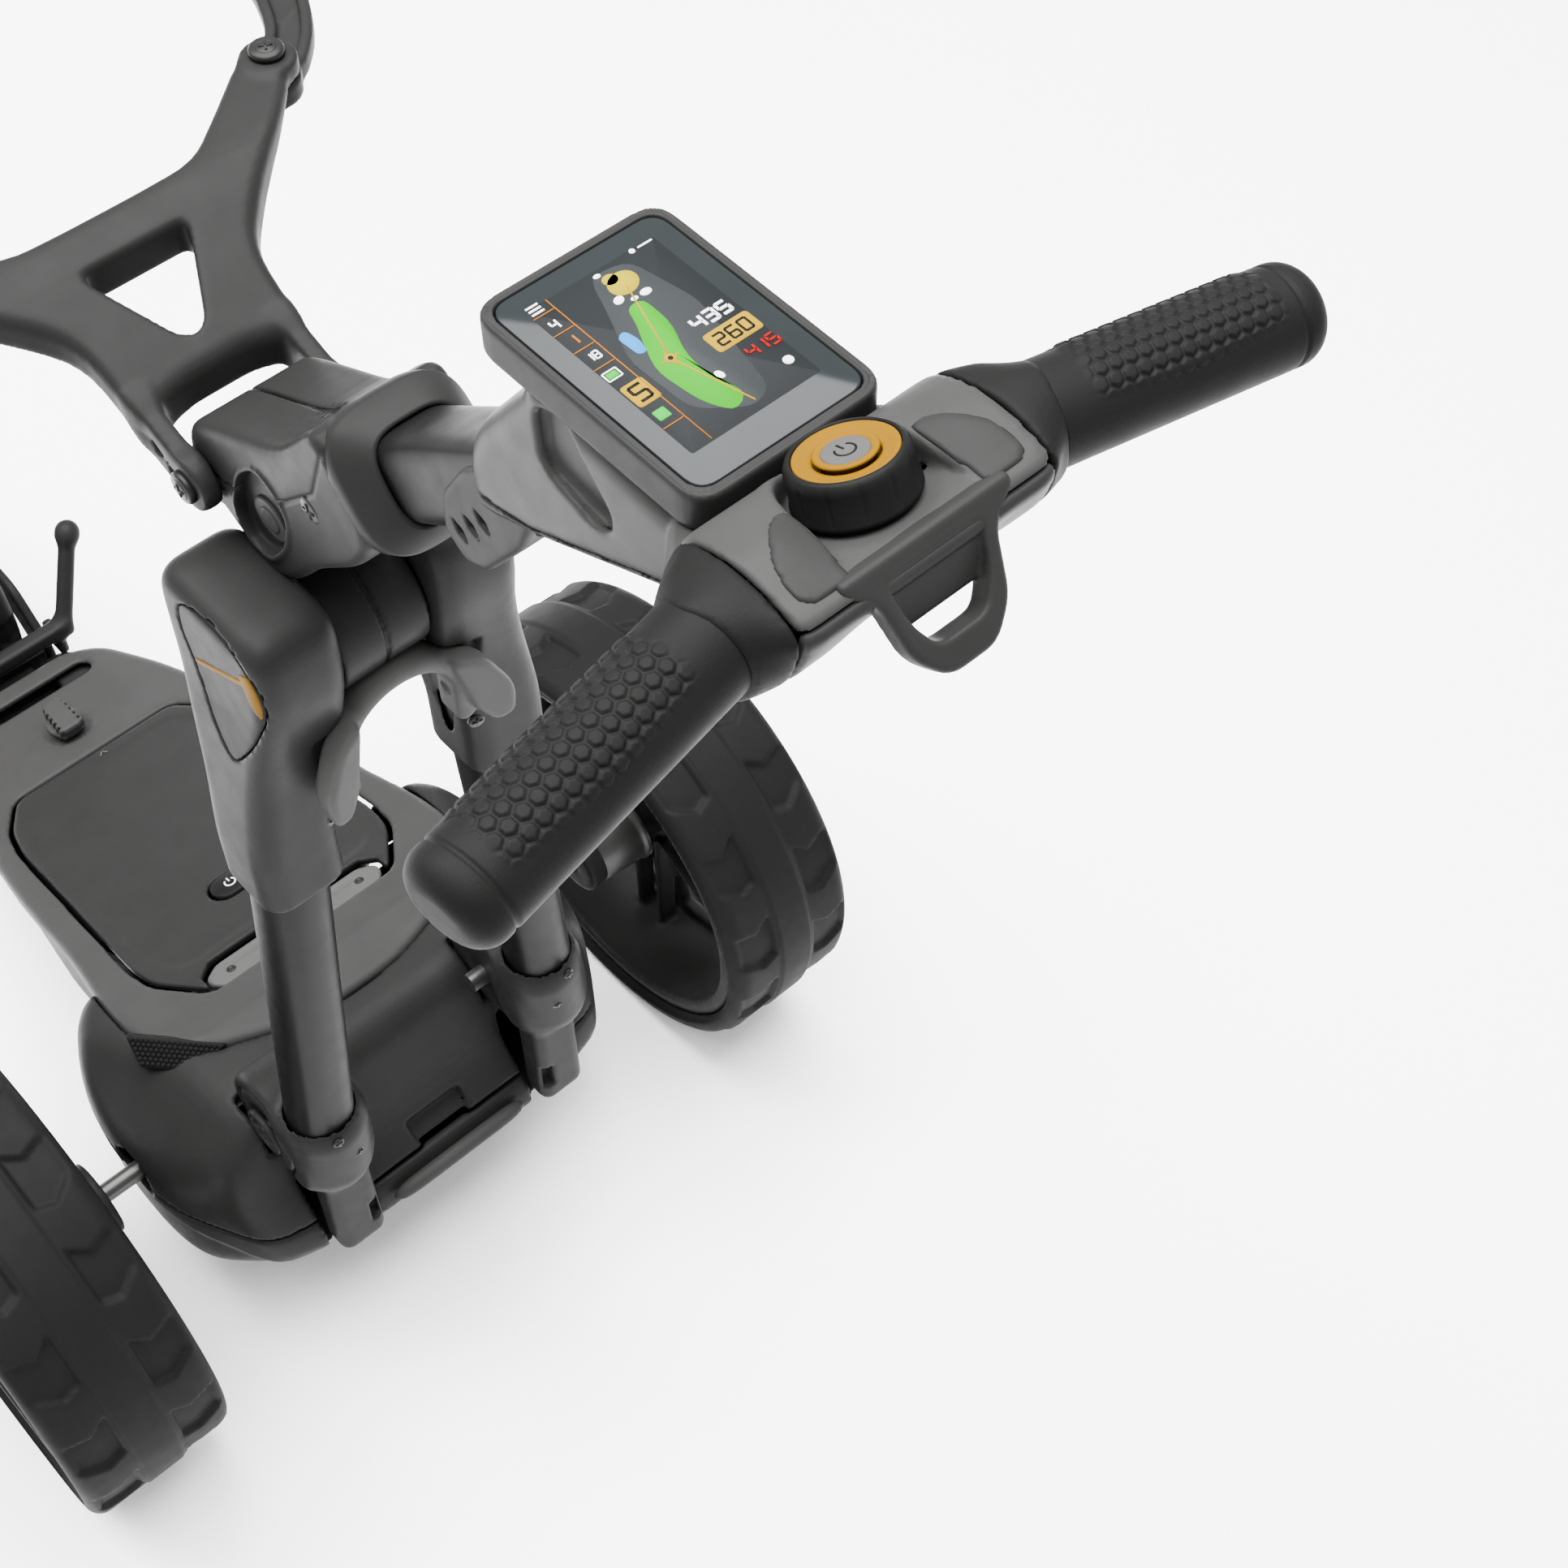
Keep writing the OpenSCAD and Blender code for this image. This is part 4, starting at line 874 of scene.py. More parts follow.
def leg_tubes():
    """Slightly oval tubes from the sockets to the caps."""
    side, over = basis(LEG_TOP - LEG_LOW, (0, 1, 0))[:2]
    rings = []
    for t in np.linspace(0.0, 1.0, 30):
        place = LEG_LOW + (LEG_TOP - LEG_LOW) * t
        loop = []
        for a in np.arange(48) * math.pi / 24:
            c, s = math.cos(a), math.sin(a)
            k = (abs(c) ** 2.5 + abs(s) ** 2.5) ** (-1 / 2.5)
            loop.append(place + side * 17.6 * k * c + over * 18.6 * k * s)
        rings.append(loop)
    piece("leg_pipes", both(strip(rings)), "tube_metal", "legs", "leg_tubes")


def leg_caps():
    """Rounded housings at the top of the legs with their side plates, and the arch latch between them."""
    g = Grid((-88, -172, 516), (88, -72, 724), 1.3)
    cap = cap_form(g)
    inlay = side_outline(g, BADGE, 10)
    cap = less(cap, common(common(inlay, 50 - g.x), -(cap + 2.4)), 0.6)
    cap = less(cap, barrel(g, (0, -121, 680), 29, 30, 58, 1), 1)
    cap = less(cap, barrel(g, DRUM, 9.6, 0, 60, 0.2))
    off, along = about_leg(g)
    cap = less(cap, common(off - LEG_BORE, along - 306), 1)
    cap = less(cap, block(g.x, g.y, g.z, (27, -151, 595), (7.4, 31, 43), 3), 3)
    cap = less(cap, block(g.x, g.y, g.z, (32, -170, 612), (13, 19, 22), 3), 3)
    cast("leg_heads", g, cap, "shell_dark", "legs", "leg_caps")
    g = Grid((48, -168, 612), (84, -92, 722), 0.7, mirror=False)
    form = cap_form(g)
    plate = common(common(side_outline(g, BADGE, 10) + 0.5, 51 - g.x), np.abs(form + 1.4) - 1.0, 0.4)
    piece("side_plates", both(net(g, plate)), "knob_black", "legs", "badge_plates")
    stripe = outline(g.y, g.z, [(-110, 673), (-150, 694), (-152, 691.4), (-111, 671)])
    wedge = side_outline(g, [(-148, 697), (-164, 705), (-165, 683), (-160, 670), (-152, 682)], 1)
    mark = common(common(union(stripe, wedge), 51 - g.x), np.abs(form + 0.6) - 0.7)
    mark = common(mark, side_outline(g, BADGE, 10) + 1.2)
    piece("side_plate_lines", both(net(g, mark)), "button_yellow", "legs")
    screw = cross_screw((41, -146.4, 568), (-0.2, -1, 0), 4.4)
    piece("cap_screws", both(screw), "zinc_screw", "legs")

    g = Grid((-56, -172, 558), (56, -134, 652), 1.1)
    ring = np.hypot(g.x, np.maximum(g.z - 611, 0))
    arch = common(common(ring - 36, 27.4 - ring), span(g.y, -156.4, -138.2), 4)
    arch = common(arch, 588 - g.z, 3)
    paddle = front_outline(g, [(24, 640), (40, 634), (52, 608), (50, 590), (40, 588), (33, 600), (29, 618)],
                           9, 6)
    arch = union(arch, common(paddle, span(g.y + 0.25 * (g.x - 38), -166, -151), 4), 5)
    pin = common(off_x(g, -146, 606) - 3, span(g.x, 26, 42), 0.5)
    arch = union(arch, pin, 1)
    cast("latch_arch", g, arch, "release_grey", "latch", "fold_latch")


# ---- hub, collar, stem and bag holder ----

STEM = np.array([0, -208, 822.0])
RISE = math.radians(37)
STEM_WAY = np.array([0, -math.cos(RISE), math.sin(RISE)])
STEM_UP = np.array([0, math.sin(RISE), math.cos(RISE)])
HUB_SIDE = [(-88, 700), (-72, 738), (-78, 764), (-96, 775), (-150, 803), (-184, 842), (-212, 800),
            (-196, 774), (-160, 742), (-137, 713)]
YOKE_PIVOT = (-88, 742)
ARM_PIVOT = (108, 52)
YOKE_PLAN = [(-20, -56), (20, -56), (41, -64), (44, -24), (62, -6), (92, 20), (113, 42), (98, 62), (74, 42),
             (46, 20), (20, 19), (-20, 19)]
YOKE_SIDE = [(-66, 736), (-30, 757), (4, 775), (36, 786.3), (66, 786.3), (66, 796), (4, 794), (-30, 777),
             (-66, 758)]
ARM_PLAN = [(104, 62), (124, 78), (138, 112), (142, 156), (150, 164), (160, 160), (164, 128), (156, 92),
            (140, 64), (119, 45)]


def stem_coords(g):
    """Distance along the stem and off its axis."""
    y, z = g.y - STEM[1], g.z - STEM[2]
    along = y * STEM_WAY[1] + z * STEM_WAY[2]
    up = y * STEM_UP[1] + z * STEM_UP[2]
    return along, up


def hub():
    """Hub block on the drum, its collar and the stem tube."""
    g = Grid((-34, -220, 628), (34, -66, 852), 1.05)
    body = common(side_outline(g, HUB_SIDE, 14), g.x - 30, 6)
    drum = barrel(g, DRUM, 35, -30, 22.7, 2)
    body = less(body, common(common(off_x(g, *DRUM[1:]) - 64, 22.7 - g.x, 1), g.z - 736 - 0.6 * (g.y + 80),
                             1), 2)
    body = union(body, drum, 2)
    up = stem_coords(g)[1]
    body = less(body, np.sqrt(g.x ** 2 + up ** 2) - 20.8)
    body = less(body, barrel(g, DRUM, 9.6, -50, 50, 0.2))
    body = less(body, off_x(g, *YOKE_PIVOT) - 4.5)
    tear = side_outline(g, [(-150, 768), (-134, 781), (-116, 764), (-106, 736), (-112, 722), (-126, 722),
                            (-142, 742)], 10)
    body = less(body, common(tear, 25 - g.x, 1.5), 1.2)
    body = union(body, common(common(np.abs(tear - 1.6) - 1.1, span(g.x, 20, 31.2)), span(g.z, 720, 790)),
                 0.8)
    cover = outline(g.y, g.z, [(-60, 745), (-100, 745), (-150, 775), (-175, 800), (-200, 860), (-150, 900),
                               (-60, 900)])
    body = less(body, common(np.abs(cover) - 0.8, 28.9 - g.x), 0.5)
    body = less(body, common(np.abs(g.x) - 0.8, 33.4 - off_x(g, *DRUM[1:])), 0.5)
    cast("hub_body", g, body, "shell_dark", "handle", "hub_block")
    spoked = []
    for r0, r1, h in ((9.5, 11, 1.6), (5, 6.2, 2.0)):
        spoked.append(turned((24.6, -126, 742), (1, 0, 0), [(r0, 0), (r1, 0), (r1, h), (r0, h)], 40))
    for a in np.arange(6) * math.pi / 3:
        c, s = math.cos(a), math.sin(a)
        rings = [[(24.6 + h, -126 + r * c - w * s, 742 + r * s + w * c) for r,
                  w in ((5.6, -0.5), (10, -0.5), (10, 0.5), (5.6, 0.5))] for h in (0, 1.4)]
        spoked.append(strip(rings))
    piece("hub_disc", both(joined(*spoked)), "shell_grey", "handle")
    screw = cross_screw((30.4, -170, 787), (1, 0, 0), 6.2)
    piece("hub_screws", both(screw), "zinc_screw", "handle")

    side, over, way = basis(STEM_WAY)
    rings = []
    profile = [(18.8, -16), (27.4, -17), (29.6, -16), (30.2, -14), (30.2, -5), (29.4, -4), (21.2, 8.4),
               (20, 9), (18.8, 8)]

    def squared(r, power):
        """Rounded-square loop of half width r about the stem's axis."""
        loop = []
        for a in np.arange(96) * math.pi / 48:
            c, s = math.cos(a), math.sin(a)
            k = r / (abs(c) ** power + abs(s) ** power) ** (1 / power)
            loop.append(side * k * c + over * k * s)
        return np.array(loop)

    for r, h in profile:
        rings.append(STEM + way * h + squared(r, 3.4))
    piece("stem_collar", strip(rings, caps=False, close_ends=True), "shell_dark", "handle", "hub_collar")
    rings = []
    for d in np.linspace(-38, 168, 24):
        rings.append(STEM + way * d + squared(18.2, 4.2))
    piece("stem_pipe", strip(rings), "tube_metal", "handle", "stem_tube")


def bag_holder():
    """Yoke over the hub, its two arms and their screws."""
    g = Grid((-128, -104, 726), (128, 70, 802), 1.6)
    plan = plan_outline(g, YOKE_PLAN, 12)
    side = side_outline(g, YOKE_SIDE, 14)
    yoke = common(plan, side, 6)
    window = plan_outline(g, [(-20, -4), (27, -4), (5, -43), (-20, -43)], 7)
    yoke = less(yoke, np.maximum(window, -1), 3)
    web_top = np.interp(g.y, [-66, -30, 4, 36, 64], [741, 762, 780, 789, 789]).astype(np.float32)
    yoke = less(yoke, common(common(plan + 6, 6 - window), common(g.x - 98, g.z - web_top, 1), 1), 1)
    ear = barrel(g, (0, -88, 742), 13, 31.2, 40.4, 3)
    web = side_outline(g, [(-95, 731), (-84, 729.6), (-54, 741), (-48, 766), (-80, 755), (-94, 753)], 6)
    ear = union(ear, common(web, span(g.x, 31.2, 40.6), 3), 3)
    for y0, z0 in ((-80, 744.5), (-70, 749.5), (-60, 754)):
        pocket = outline(g.y, g.z, [(y0 - 4, z0 - 4), (y0 + 5, z0 + 1.5), (y0 + 3.6, z0 - 5)])
        ear = less(ear, common(pocket, 37.6 - g.x), 0.8)
    yoke = union(yoke, ear, 5)
    yoke = union(yoke, common(off_z(g, *ARM_PIVOT) - 13, span(g.z, 786.3, 796), 2), 4)
    yoke = less(yoke, off_x(g, *YOKE_PIVOT) - 4.6)
    yoke = less(yoke, off_z(g, *ARM_PIVOT) - 4.6)
    cast("yoke_frame", g, yoke, "shell_dark", "yoke", "bag_yoke")
    pins = turned((20, -88, 742), (1, 0, 0), [(0.5, 0), (4, 0), (4, 20.4), (7.5, 20.6), (7.5, 23),
                                              (6.6, 24), (0.5, 24)], 32)
    pins = joined(pins, cross_screw((44, -88, 742), (1, 0, 0), 5.4, 1.2))
    piece("yoke_screws", both(pins), "zinc_screw", "yoke", "yoke_pin_screws")
    post = turned((108, 52, 770.2), (0, 0, 1), [(0.5, 0), (7, 0), (7, 4), (4, 4.2), (4, 26), (8, 26.2),
                                                (8, 29), (7, 30), (0.5, 30)], 32, (0, 1, 0))
    post = joined(post, cross_screw((108, 52, 800), (0, 0.001, 1), 5, 1.0))
    piece("arm_pins", both(post), "zinc_screw", "yoke", "arm_screws")
    g = Grid((92, 36, 770), (168, 168, 790), 1.3, mirror=False)
    arm_plan = plan_outline(g, ARM_PLAN, 14)
    arm = common(arm_plan, span(g.z, 774.8, 785.4), 3)
    arm = union(arm, common(off_z(g, *ARM_PIVOT) - 13, span(g.z, 774.8, 785.4), 2), 3)
    arm = less(arm, common(arm_plan + 5.5, common(782 - g.z, 14.5 - off_z(g, *ARM_PIVOT)), 1), 1)
    for a, b in (((124, 78), (156, 92)), ((138, 112), (161, 118)), ((140, 138), (162, 140))):
        arm = union(arm, common(limb(g, (*a, 781), (*b, 781), 1.5), common(arm_plan, g.z - 785)), 1)
    arm = less(arm, off_z(g, *ARM_PIVOT) - 4.6)
    shape = net(g, arm)
    piece("arm_right_skin", shape, "shell_dark", "arm_right", "bag_arm_right")
    piece("arm_left_skin", flipped(shape), "shell_dark", "arm_left", "bag_arm_left")


# ---- console ----

GRIP_IN = np.array([52, -441, 985.0])
GRIP_OUT = np.array([162.5, -457, 973.5])
DIAL = (0, -436, 991)
DIAL_TILT = 21
DISPLAY_Y = -360
DISPLAY_Z = 993.6
CONSOLE_SIDE = [(-279, 893), (-280, 908), (-287, 922), (-319, 964), (-321, 978.2), (-412.6, 978.2),
                (-414, 992), (-424, 998), (-463, 999), (-468, 993), (-464, 983), (-454, 969), (-440, 959),
                (-392, 936), (-320, 895), (-292, 880), (-282, 880)]
CONSOLE_SEAM = [(-200, 880), (-280, 888), (-318, 901), (-390, 942), (-436, 967), (-454, 984), (-463, 995.4),
                (-500, 996), (-500, 1100), (-200, 1100)]


def console():
    """Two-part shell that carries the display, dial and grips, sunk round the dial."""
    g = Grid((-66, -474, 824), (66, -220, 1004), 1.4)
    side = side_outline(g, CONSOLE_SIDE, 10)
    half = np.interp(g.y, [-470, -462, -440, -424, -408, -396, -330, -280],
                     [50, 52, 62, 60, 47, 35, 31, 27]).astype(np.float32)
    form = common(side, g.x - half, 12)
    wing = common(limb(g, (36, -440.5, 982), (66, -443.4, 983.4), 18, 16.6), g.x - 57 - 0.35 * (g.y + 462),
                  2)
    form = union(form, wing, 10)
    shell = common(form, -(form + 3.2))
    v, w = g.tilted(DIAL, -DIAL_TILT)
    well = common(np.sqrt(g.x ** 2 + v ** 2) - 21.4, -(w + 0.2), 1)
    channel = common(common(g.x - 21 + 0.12 * v, span(v, -25.5, 0), 3), -(w + 0.2), 1)
    cut = union(well, channel, 2)
    shell = union(shell, common(cut - 4, form), 1)
    pocket = side_outline(g, [(-330, 966), (-331, 946), (-336, 941), (-358, 938), (-366, 942), (-367, 951),
                              (-345, 972)], 5)
    shell = union(shell, common(pocket - 3, span(g.x, 18, 29)), 1)
    shell = less(shell, common(pocket, 27 - g.x, 1), 2)
    shell = less(shell, cut, 2)
    cushion = plan_outline(g, [(22, -430), (30, -432), (41, -446), (42, -461), (22, -461)], 7)
    pads = common(common(cushion, form - 1.0, 1.6), -(form + 1))
    pads = common(less(pads, cut - 0.6, 1), 985 - g.z)
    cast("console_pads", g, pads, "console_dark", "handle", slot="console_grey")
    shell = less(shell, np.sqrt(g.x ** 2 + v ** 2) - 5.6)
    along, up = stem_coords(g)
    shell = less(shell, common(np.maximum(g.x, np.abs(up)) - 18.6, along - 172))
    core = union(limb(g, GRIP_IN, GRIP_OUT, 11.8), limb(g, (-40, -438, 974), (52, -441, 984), 10), 1)
    shell = less(shell, core)
    seam = outline(g.y, g.z, CONSOLE_SEAM)
    sleeve = 46.4 - g.x
    cast("grip_roots", g, common(shell, sleeve + 0.3, 1), "grip_rubber", "handle")
    shell = common(shell, 0.3 - sleeve, 0.6)
    upper = common(shell, seam + 0.5, 1.0)
    lower = common(shell, 0.5 - seam, 1.0)
    cast("console_top", g, upper, "console_grey", "handle", "console_upper")
    cast("console_bottom", g, lower, "console_dark", "handle", "console_lower", slot="console_grey")
    g = Grid((-22, -312, 824), (22, -244, 896), 0.9)
    flap = side_outline(g, [(-250, 838), (-261, 829), (-274, 834), (-298, 866), (-309, 893), (-290, 900),
                            (-266, 880), (-252, 858)], 4)
    flap = common(flap, g.x - 20.6, 3)
    for y0, z0 in ((-261, 845), (-268.5, 853.5), (-276, 862)):
        a, b = 0.66 * (g.y - y0) - 0.75 * (g.z - z0), 0.75 * (g.y - y0) + 0.66 * (g.z - z0)
        hole = np.abs(a) * 0.8 + np.abs(b) * 0.35 - 2.0
        flap = less(flap, common(hole, 17.4 - g.x), 0.5)
    cast("socket_flap", g, flap, "console_dark", "handle", slot="console_grey")


def ticket_loop():
    """Sloping loop on the console's rear edge, with an inclined plate closing the top of its opening."""
    g = Grid((-36, -492, 952), (36, -452, 1002), 0.8)
    down = -0.539 * (g.y + 464) - 0.842 * (g.z - 998)
    deep = 0.842 * (g.y + 464) - 0.539 * (g.z - 998)
    shape = outline(g.x, down, rounded([(-25, -4), (31, -4), (31, 1), (24, 6), (21.5, 10), (18, 28),
                                        (9, 38), (-25, 38)], 5))
    hole = outline(g.x, down, rounded([(-25, 3), (17.5, 3), (14.5, 18), (9, 27.5), (-25, 27.5)], 4))
    ring = less(common(shape, span(deep, 0, 9), 2.5), hole, 1.5)
    plate = common(common(hole - 1.5, np.abs(deep - 0.8 - 0.3 * down) - 1.3, 0.6), down - 20.5, 0.6)
    ring = union(ring, plate, 0.6)
    cast("loop_ring", g, ring, "console_dark", "handle", "ticket_loop", slot="console_grey")


def grip_shape():
    """Rubber sleeve with a honeycomb patch in relief, a hard strip below and a domed end."""
    start = GRIP_IN + 0.07 * (GRIP_OUT - GRIP_IN)
    side, over, way = basis(GRIP_OUT - start)
    length = np.linalg.norm(GRIP_OUT - start) - 1
    rows, cols = 230, 220
    a = np.arange(cols) * 2 * math.pi / cols
    rings = []
    cell = 5.4
    for d in np.concatenate([[0, 0.4], np.linspace(0.8, length - 9, rows),
                             length - 9 + 9 * np.sin(np.linspace(0.05, 1.5, 14))]):
        dome = max(0.0, (d - (length - 9)) / 9)
        r0 = 17.2 - 9 * (1 - math.sqrt(max(0.0, 1 - dome * dome)))
        r0 -= 1.0 * max(0.0, 1 - d / 1.5)
        u, v = np.full(cols, d), (a - math.pi / 2) * 17.2
        row = np.round(v / (cell * 0.866))
        near = np.full(cols, 99.0)
        for dr in (-1, 0, 1):
            rr = row + dr
            for shift in (-1, 0, 1):
                cu = (np.round(u / cell - 0.5 * (rr % 2)) + 0.5 * (rr % 2) + shift) * cell
                cv = rr * cell * 0.866
                du, dv = np.abs(u - cu), np.abs(v - cv)
                near = np.minimum(near, np.maximum(du, du * 0.5 + dv * 0.866))
        patch = bump_up(18 - np.abs(v + 2) - 0.10 * np.abs(u - 48), 2.0) * bump_up(34 - np.abs(u - 50), 3)
        relief = 0.9 * bump_up(2.1 - near, 0.35) * patch
        seam = 0.7 * bump_up(0.6 - np.abs(np.abs(np.abs(a - math.pi * 1.5) - math.radians(34)) * 17.2), 0.6)
        ring_line = 0.6 * bump_up(0.8 - np.abs(d - (length - 12)), 0.5)
        r = r0 - 0.6 + relief - seam - ring_line
        ring = start + way * d + np.outer(r * np.cos(a), side) + np.outer(r * np.sin(a) * 0.96, over)
        rings.append(ring)
    return strip(rings)


def display():
    """Display case, glass and what the screen shows, drawn as thin raised shapes; the screen's background
    and its lighter patch carry a painted reflection.
    """
    wide, long = 35.5, 51
    g = Grid((-38, DISPLAY_Y - 55, 974), (38, DISPLAY_Y + 55, 996), 0.9)

    def rounded_plan(inset, corner):
        a, b = wide - inset, long - inset
        return outline(g.x, g.y - DISPLAY_Y, rounded([(-20, -b), (a, -b), (a, b), (-20, b)], corner, 6))

    plan = rounded_plan(0, 10)
    case = common(common(plan, g.z - DISPLAY_Z, 2.6), 978.8 - g.z, 1.5)
    glass = rounded_plan(3.6, 7)
    case = less(case, common(glass, 989.2 - g.z), 0.8)
    case = less(case, common(glass + 4, 981.6 - g.z), 0.8)
    case = less(case, common(np.abs(plan + 2.0) - 0.5, 992.6 - g.z), 0.4)
    cast("display_frame", g, case, "console_dark", "handle", "display_case", slot="console_grey")

    def layer(points, low, high, shrink=0.4):
        points = np.array(points, float)
        mid = points.mean(0)
        reach = np.linalg.norm(points - mid, axis=1)[:, None]
        inner = mid + (points - mid) * (1 - shrink / np.maximum(reach, shrink))
        rings = [[(x, DISPLAY_Y + y, z) for x, y in loop] for loop, z in ((points, low),
                                                                          (points, high - 0.15),
                                                                          (inner, high))]
        return strip(rings)

    top = 992.9
    a, b = wide - 4.1, long - 4.1
    border = rounded([(-a, -b), (a, -b), (a, b), (-a, b)], 7, 6)
    piece("display_window", layer(border, 989.5, top, 0.6), "screen_glass", "handle", "display_glass")

    def show(name, mat, *shapes):
        piece(name, joined(*shapes), mat, "handle", slot="screen_glass")

    def blob(points, height, size=3):
        return layer(rounded(points, size, 3), top - 0.05, top + height, 0.15)

    def ellipse(x, y, rx, ry, height, turn=0.0):
        loop = []
        for t in np.arange(28) * math.pi / 14:
            p, q = rx * math.cos(t), ry * math.sin(t)
            loop.append((x + p * math.cos(turn) - q * math.sin(turn),
                         y + p * math.sin(turn) + q * math.cos(turn)))
        return layer(loop, top - 0.05, top + height, 0.1)

    def bar(x0, y0, x1, y1, w, height=0.26):
        d = np.array([x1 - x0, y1 - y0], float)
        n = np.array([-d[1], d[0]]) / np.linalg.norm(d) * w / 2
        return layer([(x0 + n[0], y0 + n[1]), (x0 - n[0], y0 - n[1]), (x1 - n[0], y1 - n[1]),
                      (x1 + n[0], y1 + n[1])], top - 0.05, top + height, 0.05)

    # the screen is read from the handle, so up on it is +Y; its middle is the display's middle
    # the panel's colour carries a painted reflection of the glass
    show("screen_panel_with_painted_reflection", "map_panel", blob([(-24, -35), (24, -35), (24, 39), (-24, 39)], 0.06, 1))
    # lighter patch whose lightness is a painted reflection of the glass
    show("screen_patch_painted_reflection", "map_shade", blob([(-1, 38), (12, 36), (17, 10), (9, -30), (1, -33), (-13, -22),
                                            (-14, 4), (-6, 24)], 0.1, 5))
    show("screen_fairway", "map_fairway", blob([(-1, 21), (5, 21), (5, 8), (0, -4), (-1, -16), (3, -27),
                                                (-4, -31), (-9, -22), (-11, -4), (-6, 8), (-3, 14)], 0.16,
                                               5))
    show("screen_green", "map_green", ellipse(5, 29.5, 5.4, 4.6, 0.2, 0.4), ellipse(3, 33, 2.6, 2.4, 0.2))
    show("screen_sand", "map_sand", ellipse(-0.5, 24.8, 1.9, 1.5, 0.22, 0.5),
         ellipse(7.6, 22.4, 2.0, 1.4, 0.22), ellipse(3.4, 22.4, 1.3, 0.9, 0.22),
         ellipse(1.6, -17, 1.2, 1.8, 0.22, 0.3), ellipse(1, 36.6, 1.3, 0.9, 0.22))
    show("screen_water", "map_water", blob([(-11, 13), (-7.6, 14.6), (-6, 9), (-7.6, 3.4), (-10.4, 4)], 0.2,
                                           3))
    show("screen_line", "map_yellow", bar(5, 28, -4.6, -3, 0.55), bar(-4.6, -3, 2.6, -31, 0.55),
         ellipse(-4.6, -3, 1.9, 1.9, 0.3), bar(-8.2, -3, -1, -3, 0.5), bar(-4.6, -6.6, -4.6, 0.6, 0.5),
         blob([(7.2, -11), (24, -11), (24, -2.4), (7.2, -2.4)], 0.24, 1.4),
         blob([(-23.4, -12.4), (-15.4, -12.4), (-15.4, -2.6), (-23.4, -2.6)], 0.24, 1.2))
    segments = {"0": "abcdef", "1": "bc", "2": "abged", "3": "abgcd", "4": "fgbc", "5": "afgcd",
                "6": "afgedc", "8": "abcdefg"}
    ends = {"a": (0, 2, 1, 2), "b": (1, 2, 1, 1), "c": (1, 1, 1, 0), "d": (0, 0, 1, 0), "e": (0, 1, 0, 0),
            "f": (0, 2, 0, 1), "g": (0, 1, 1, 1)}

    def number(text, x, y, w, h, thick, height=0.3):
        shapes = []
        for i, digit in enumerate(text):
            for s in segments[digit]:
                ax, ay, bx, by = ends[s]
                left = x + i * w * 1.5
                shapes.append(bar(left + ax * w, y + ay * h / 2, left + bx * w, y + by * h / 2, thick,
                                  height))
        return shapes

    menu = [bar(-23.2, y, -18.8, y, 0.7) for y in (39.4, 37.8, 36.2)]
    cell = [(-23.4, 1.2, -18.6, 1.2), (-23.4, 4.8, -18.6, 4.8), (-23.4, 1.2, -23.4, 4.8),
            (-18.6, 1.2, -18.6, 4.8)]
    show("screen_numbers", "map_white", *number("435", 8.8, 0.2, 3.2, 4.6, 1.0),
         *number("4", -21.6, 27.4, 2.0, 3.6, 0.6), *number("18", -22.6, 10.6, 1.7, 3.0, 0.5), *menu,
         *[bar(*line, 0.45) for line in cell], ellipse(19.8, -25.6, 1.7, 1.7, 0.3),
         bar(17.6, 38, 23, 38, 0.6), ellipse(15.4, 38, 1.0, 1.0, 0.3))
    show("screen_dark_numbers", "knob_black", *number("260", 9.6, -9.2, 3.0, 4.8, 0.8, 0.36),
         *number("5", -21.6, -10.6, 4.2, 6.2, 1.0, 0.36), ellipse(-4.6, -3, 0.9, 0.9, 0.36))
    show("screen_red", "map_red", *number("4", 13.2, -18.4, 2.8, 4.2, 0.8),
         *number("15", 16.6, -18.4, 2.8, 4.2, 0.8))
    show("screen_dividers", "map_orange", bar(-24, 34.6, -16.6, 34.6, 0.3),
         bar(-24, 25.4, -16.6, 25.4, 0.3), bar(-24, 16.4, -16.6, 16.4, 0.3), bar(-24, 7.4, -16.6, 7.4, 0.3),
         bar(-24, -22.6, -16.6, -22.6, 0.3), bar(-16.2, -34, -16.2, 39, 0.3),
         *number("1", -21.4, 18.8, 1.8, 3.8, 0.7))
    show("screen_box", "lamp_green", blob([(-22.4, -19.8), (-18.2, -19.8), (-18.2, -15.6), (-22.4, -15.6)],
                                          0.2, 0.5), blob([(-22.8, 1.8), (-19.2, 1.8), (-19.2, 4.2),
                                                           (-22.8, 4.2)], 0.24, 0.3))


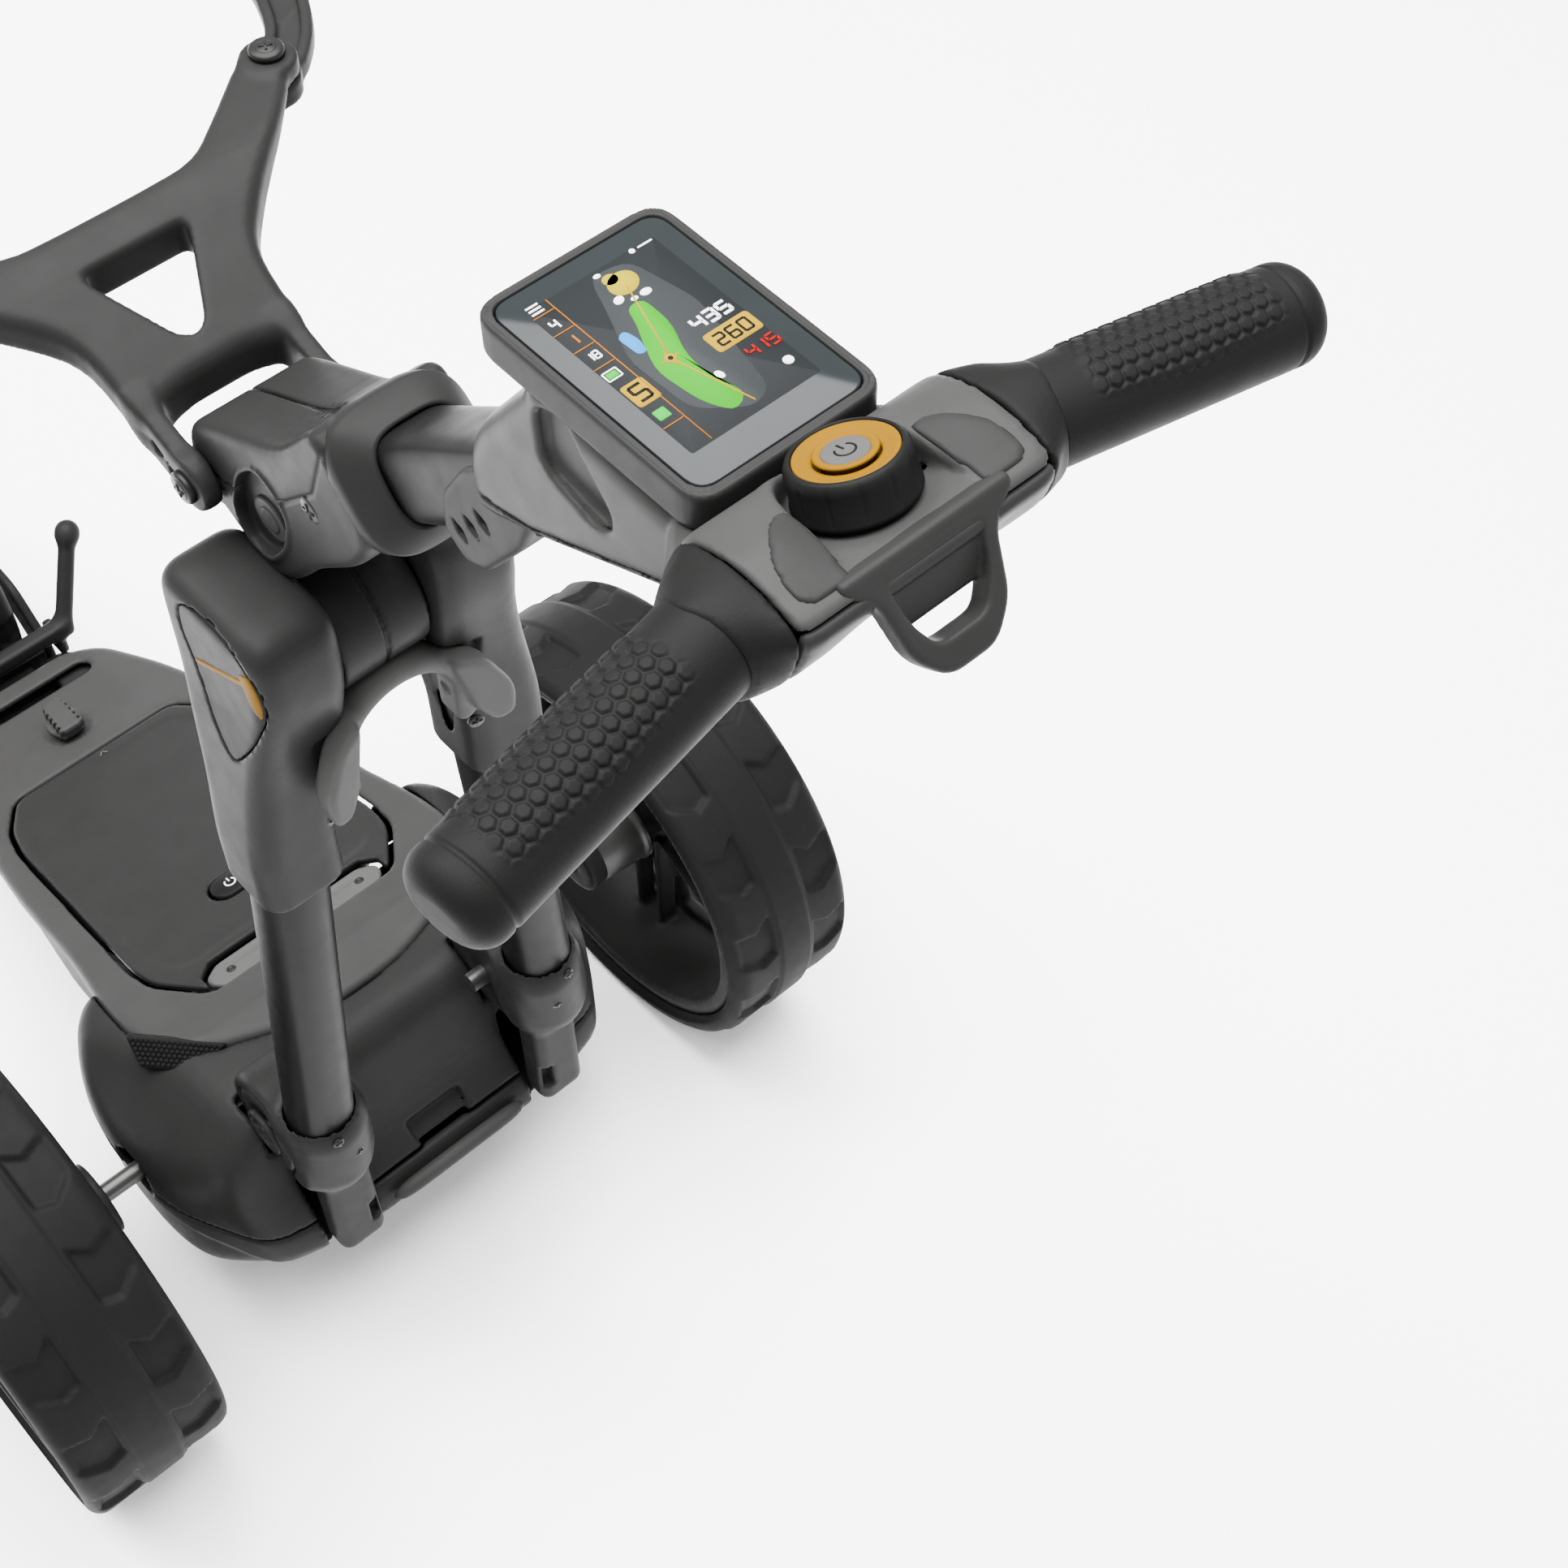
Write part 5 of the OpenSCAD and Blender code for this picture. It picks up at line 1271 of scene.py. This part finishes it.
def dial():
    """Speed dial with a yellow dished ring and the power button in its middle."""
    tilt = math.radians(DIAL_TILT)
    way = np.array([0, math.sin(tilt), math.cos(tilt)])
    side, over, way = basis(way, (0, 1, 0))
    steps = 144
    a = np.arange(steps) * 2 * math.pi / steps
    around = np.outer(np.cos(a), side) + np.outer(np.sin(a), over)
    notch = 0.55 * bump_up(np.cos(a * 12) - 0.985, 0.012)[:, None]
    rings = []
    for r, h, n in ((2.3, -6.8, 0), (5, -6.8, 0), (5, 1, 0), (18.4, 1, 0), (18.8, 1.8, 0), (18.8, 3, 0),
                    (18.3, 3.8, 1), (18.2, 12, 1), (18.0, 13.6, 0.5), (17.2, 15.2, 0), (16.2, 15.8, 0),
                    (15.6, 15.7, 0), (15.4, 15.0, 0), (15.3, 12, 0), (8.3, 12, 0), (8.3, 8.2, 0),
                    (2.3, 8.2, 0)):
        rings.append(np.array(DIAL) + way * h + around * (r - notch * n))
    piece("dial_body", strip(rings, close_ends=True), "knob_black", "dial", "speed_dial")
    ring = turned(DIAL, way, [(15.2, 12.2), (15.2, 15.3), (14.8, 15.5), (12.6, 14.3), (10.4, 14.0),
                              (9.9, 14.2), (9.9, 12.2)], 96, (0, 1, 0))
    piece("dial_ring", ring, "button_yellow", "dial")
    button = turned(DIAL, way, [(2.1, -4.8), (2.1, 11), (7.9, 11.1), (7.9, 15.0), (9.4, 15.1), (9.5, 15.7),
                                (9.0, 16.1), (7.4, 16.0), (7.1, 15.6)], 96, (0, 1, 0))
    piece("button_ring", button, "button_yellow", "dial_press", "dial_button")
    face = turned(DIAL, way, [(1, 14.6), (7.05, 14.6), (7.05, 15.7), (6.6, 15.9), (0.3, 15.9)], 96,
                  (0, 1, 0))
    piece("button_face", face, "release_grey", "dial_press", slot="button_yellow")

    def on_face(u, v, h):
        return np.array(DIAL) - side * u + over * v + way * h

    arc = [(3.0 * math.sin(t), 3.0 * math.cos(t)) for t in np.linspace(0.75, 2 * math.pi - 0.75, 24)]
    symbol = joined(stroke(arc, 0.7, 15.7, 16.02, on_face), stroke([(0, 0.6), (0, 2), (0, 3.9)], 0.7, 15.7,
                                                                   16.02, on_face))
    piece("button_symbol", symbol, "knob_black", "dial_press")


rear_wheel(-1)
rear_wheel(1)
front_wheel()
housing()
hexagon_pad()
foot_bar()
tray()
front_end()
leg_sockets()
leg_tubes()
leg_caps()
hub()
bag_holder()
console()
ticket_loop()
piece("rubber_grips", both(grip_shape()), "grip_rubber", "handle", "grips")
display()
dial()

FLOOR_SIZE = 6.0
floor_rings = [[(-FLOOR_SIZE, y, 0), (FLOOR_SIZE, y, 0)] for y in np.linspace(-FLOOR_SIZE, FLOOR_SIZE, 3)]
floor_points, floor_quads = strip(np.array(floor_rings) / MM, close_ring=False)
floor = mesh_object("floor", floor_points, floor_quads, "floor_white")
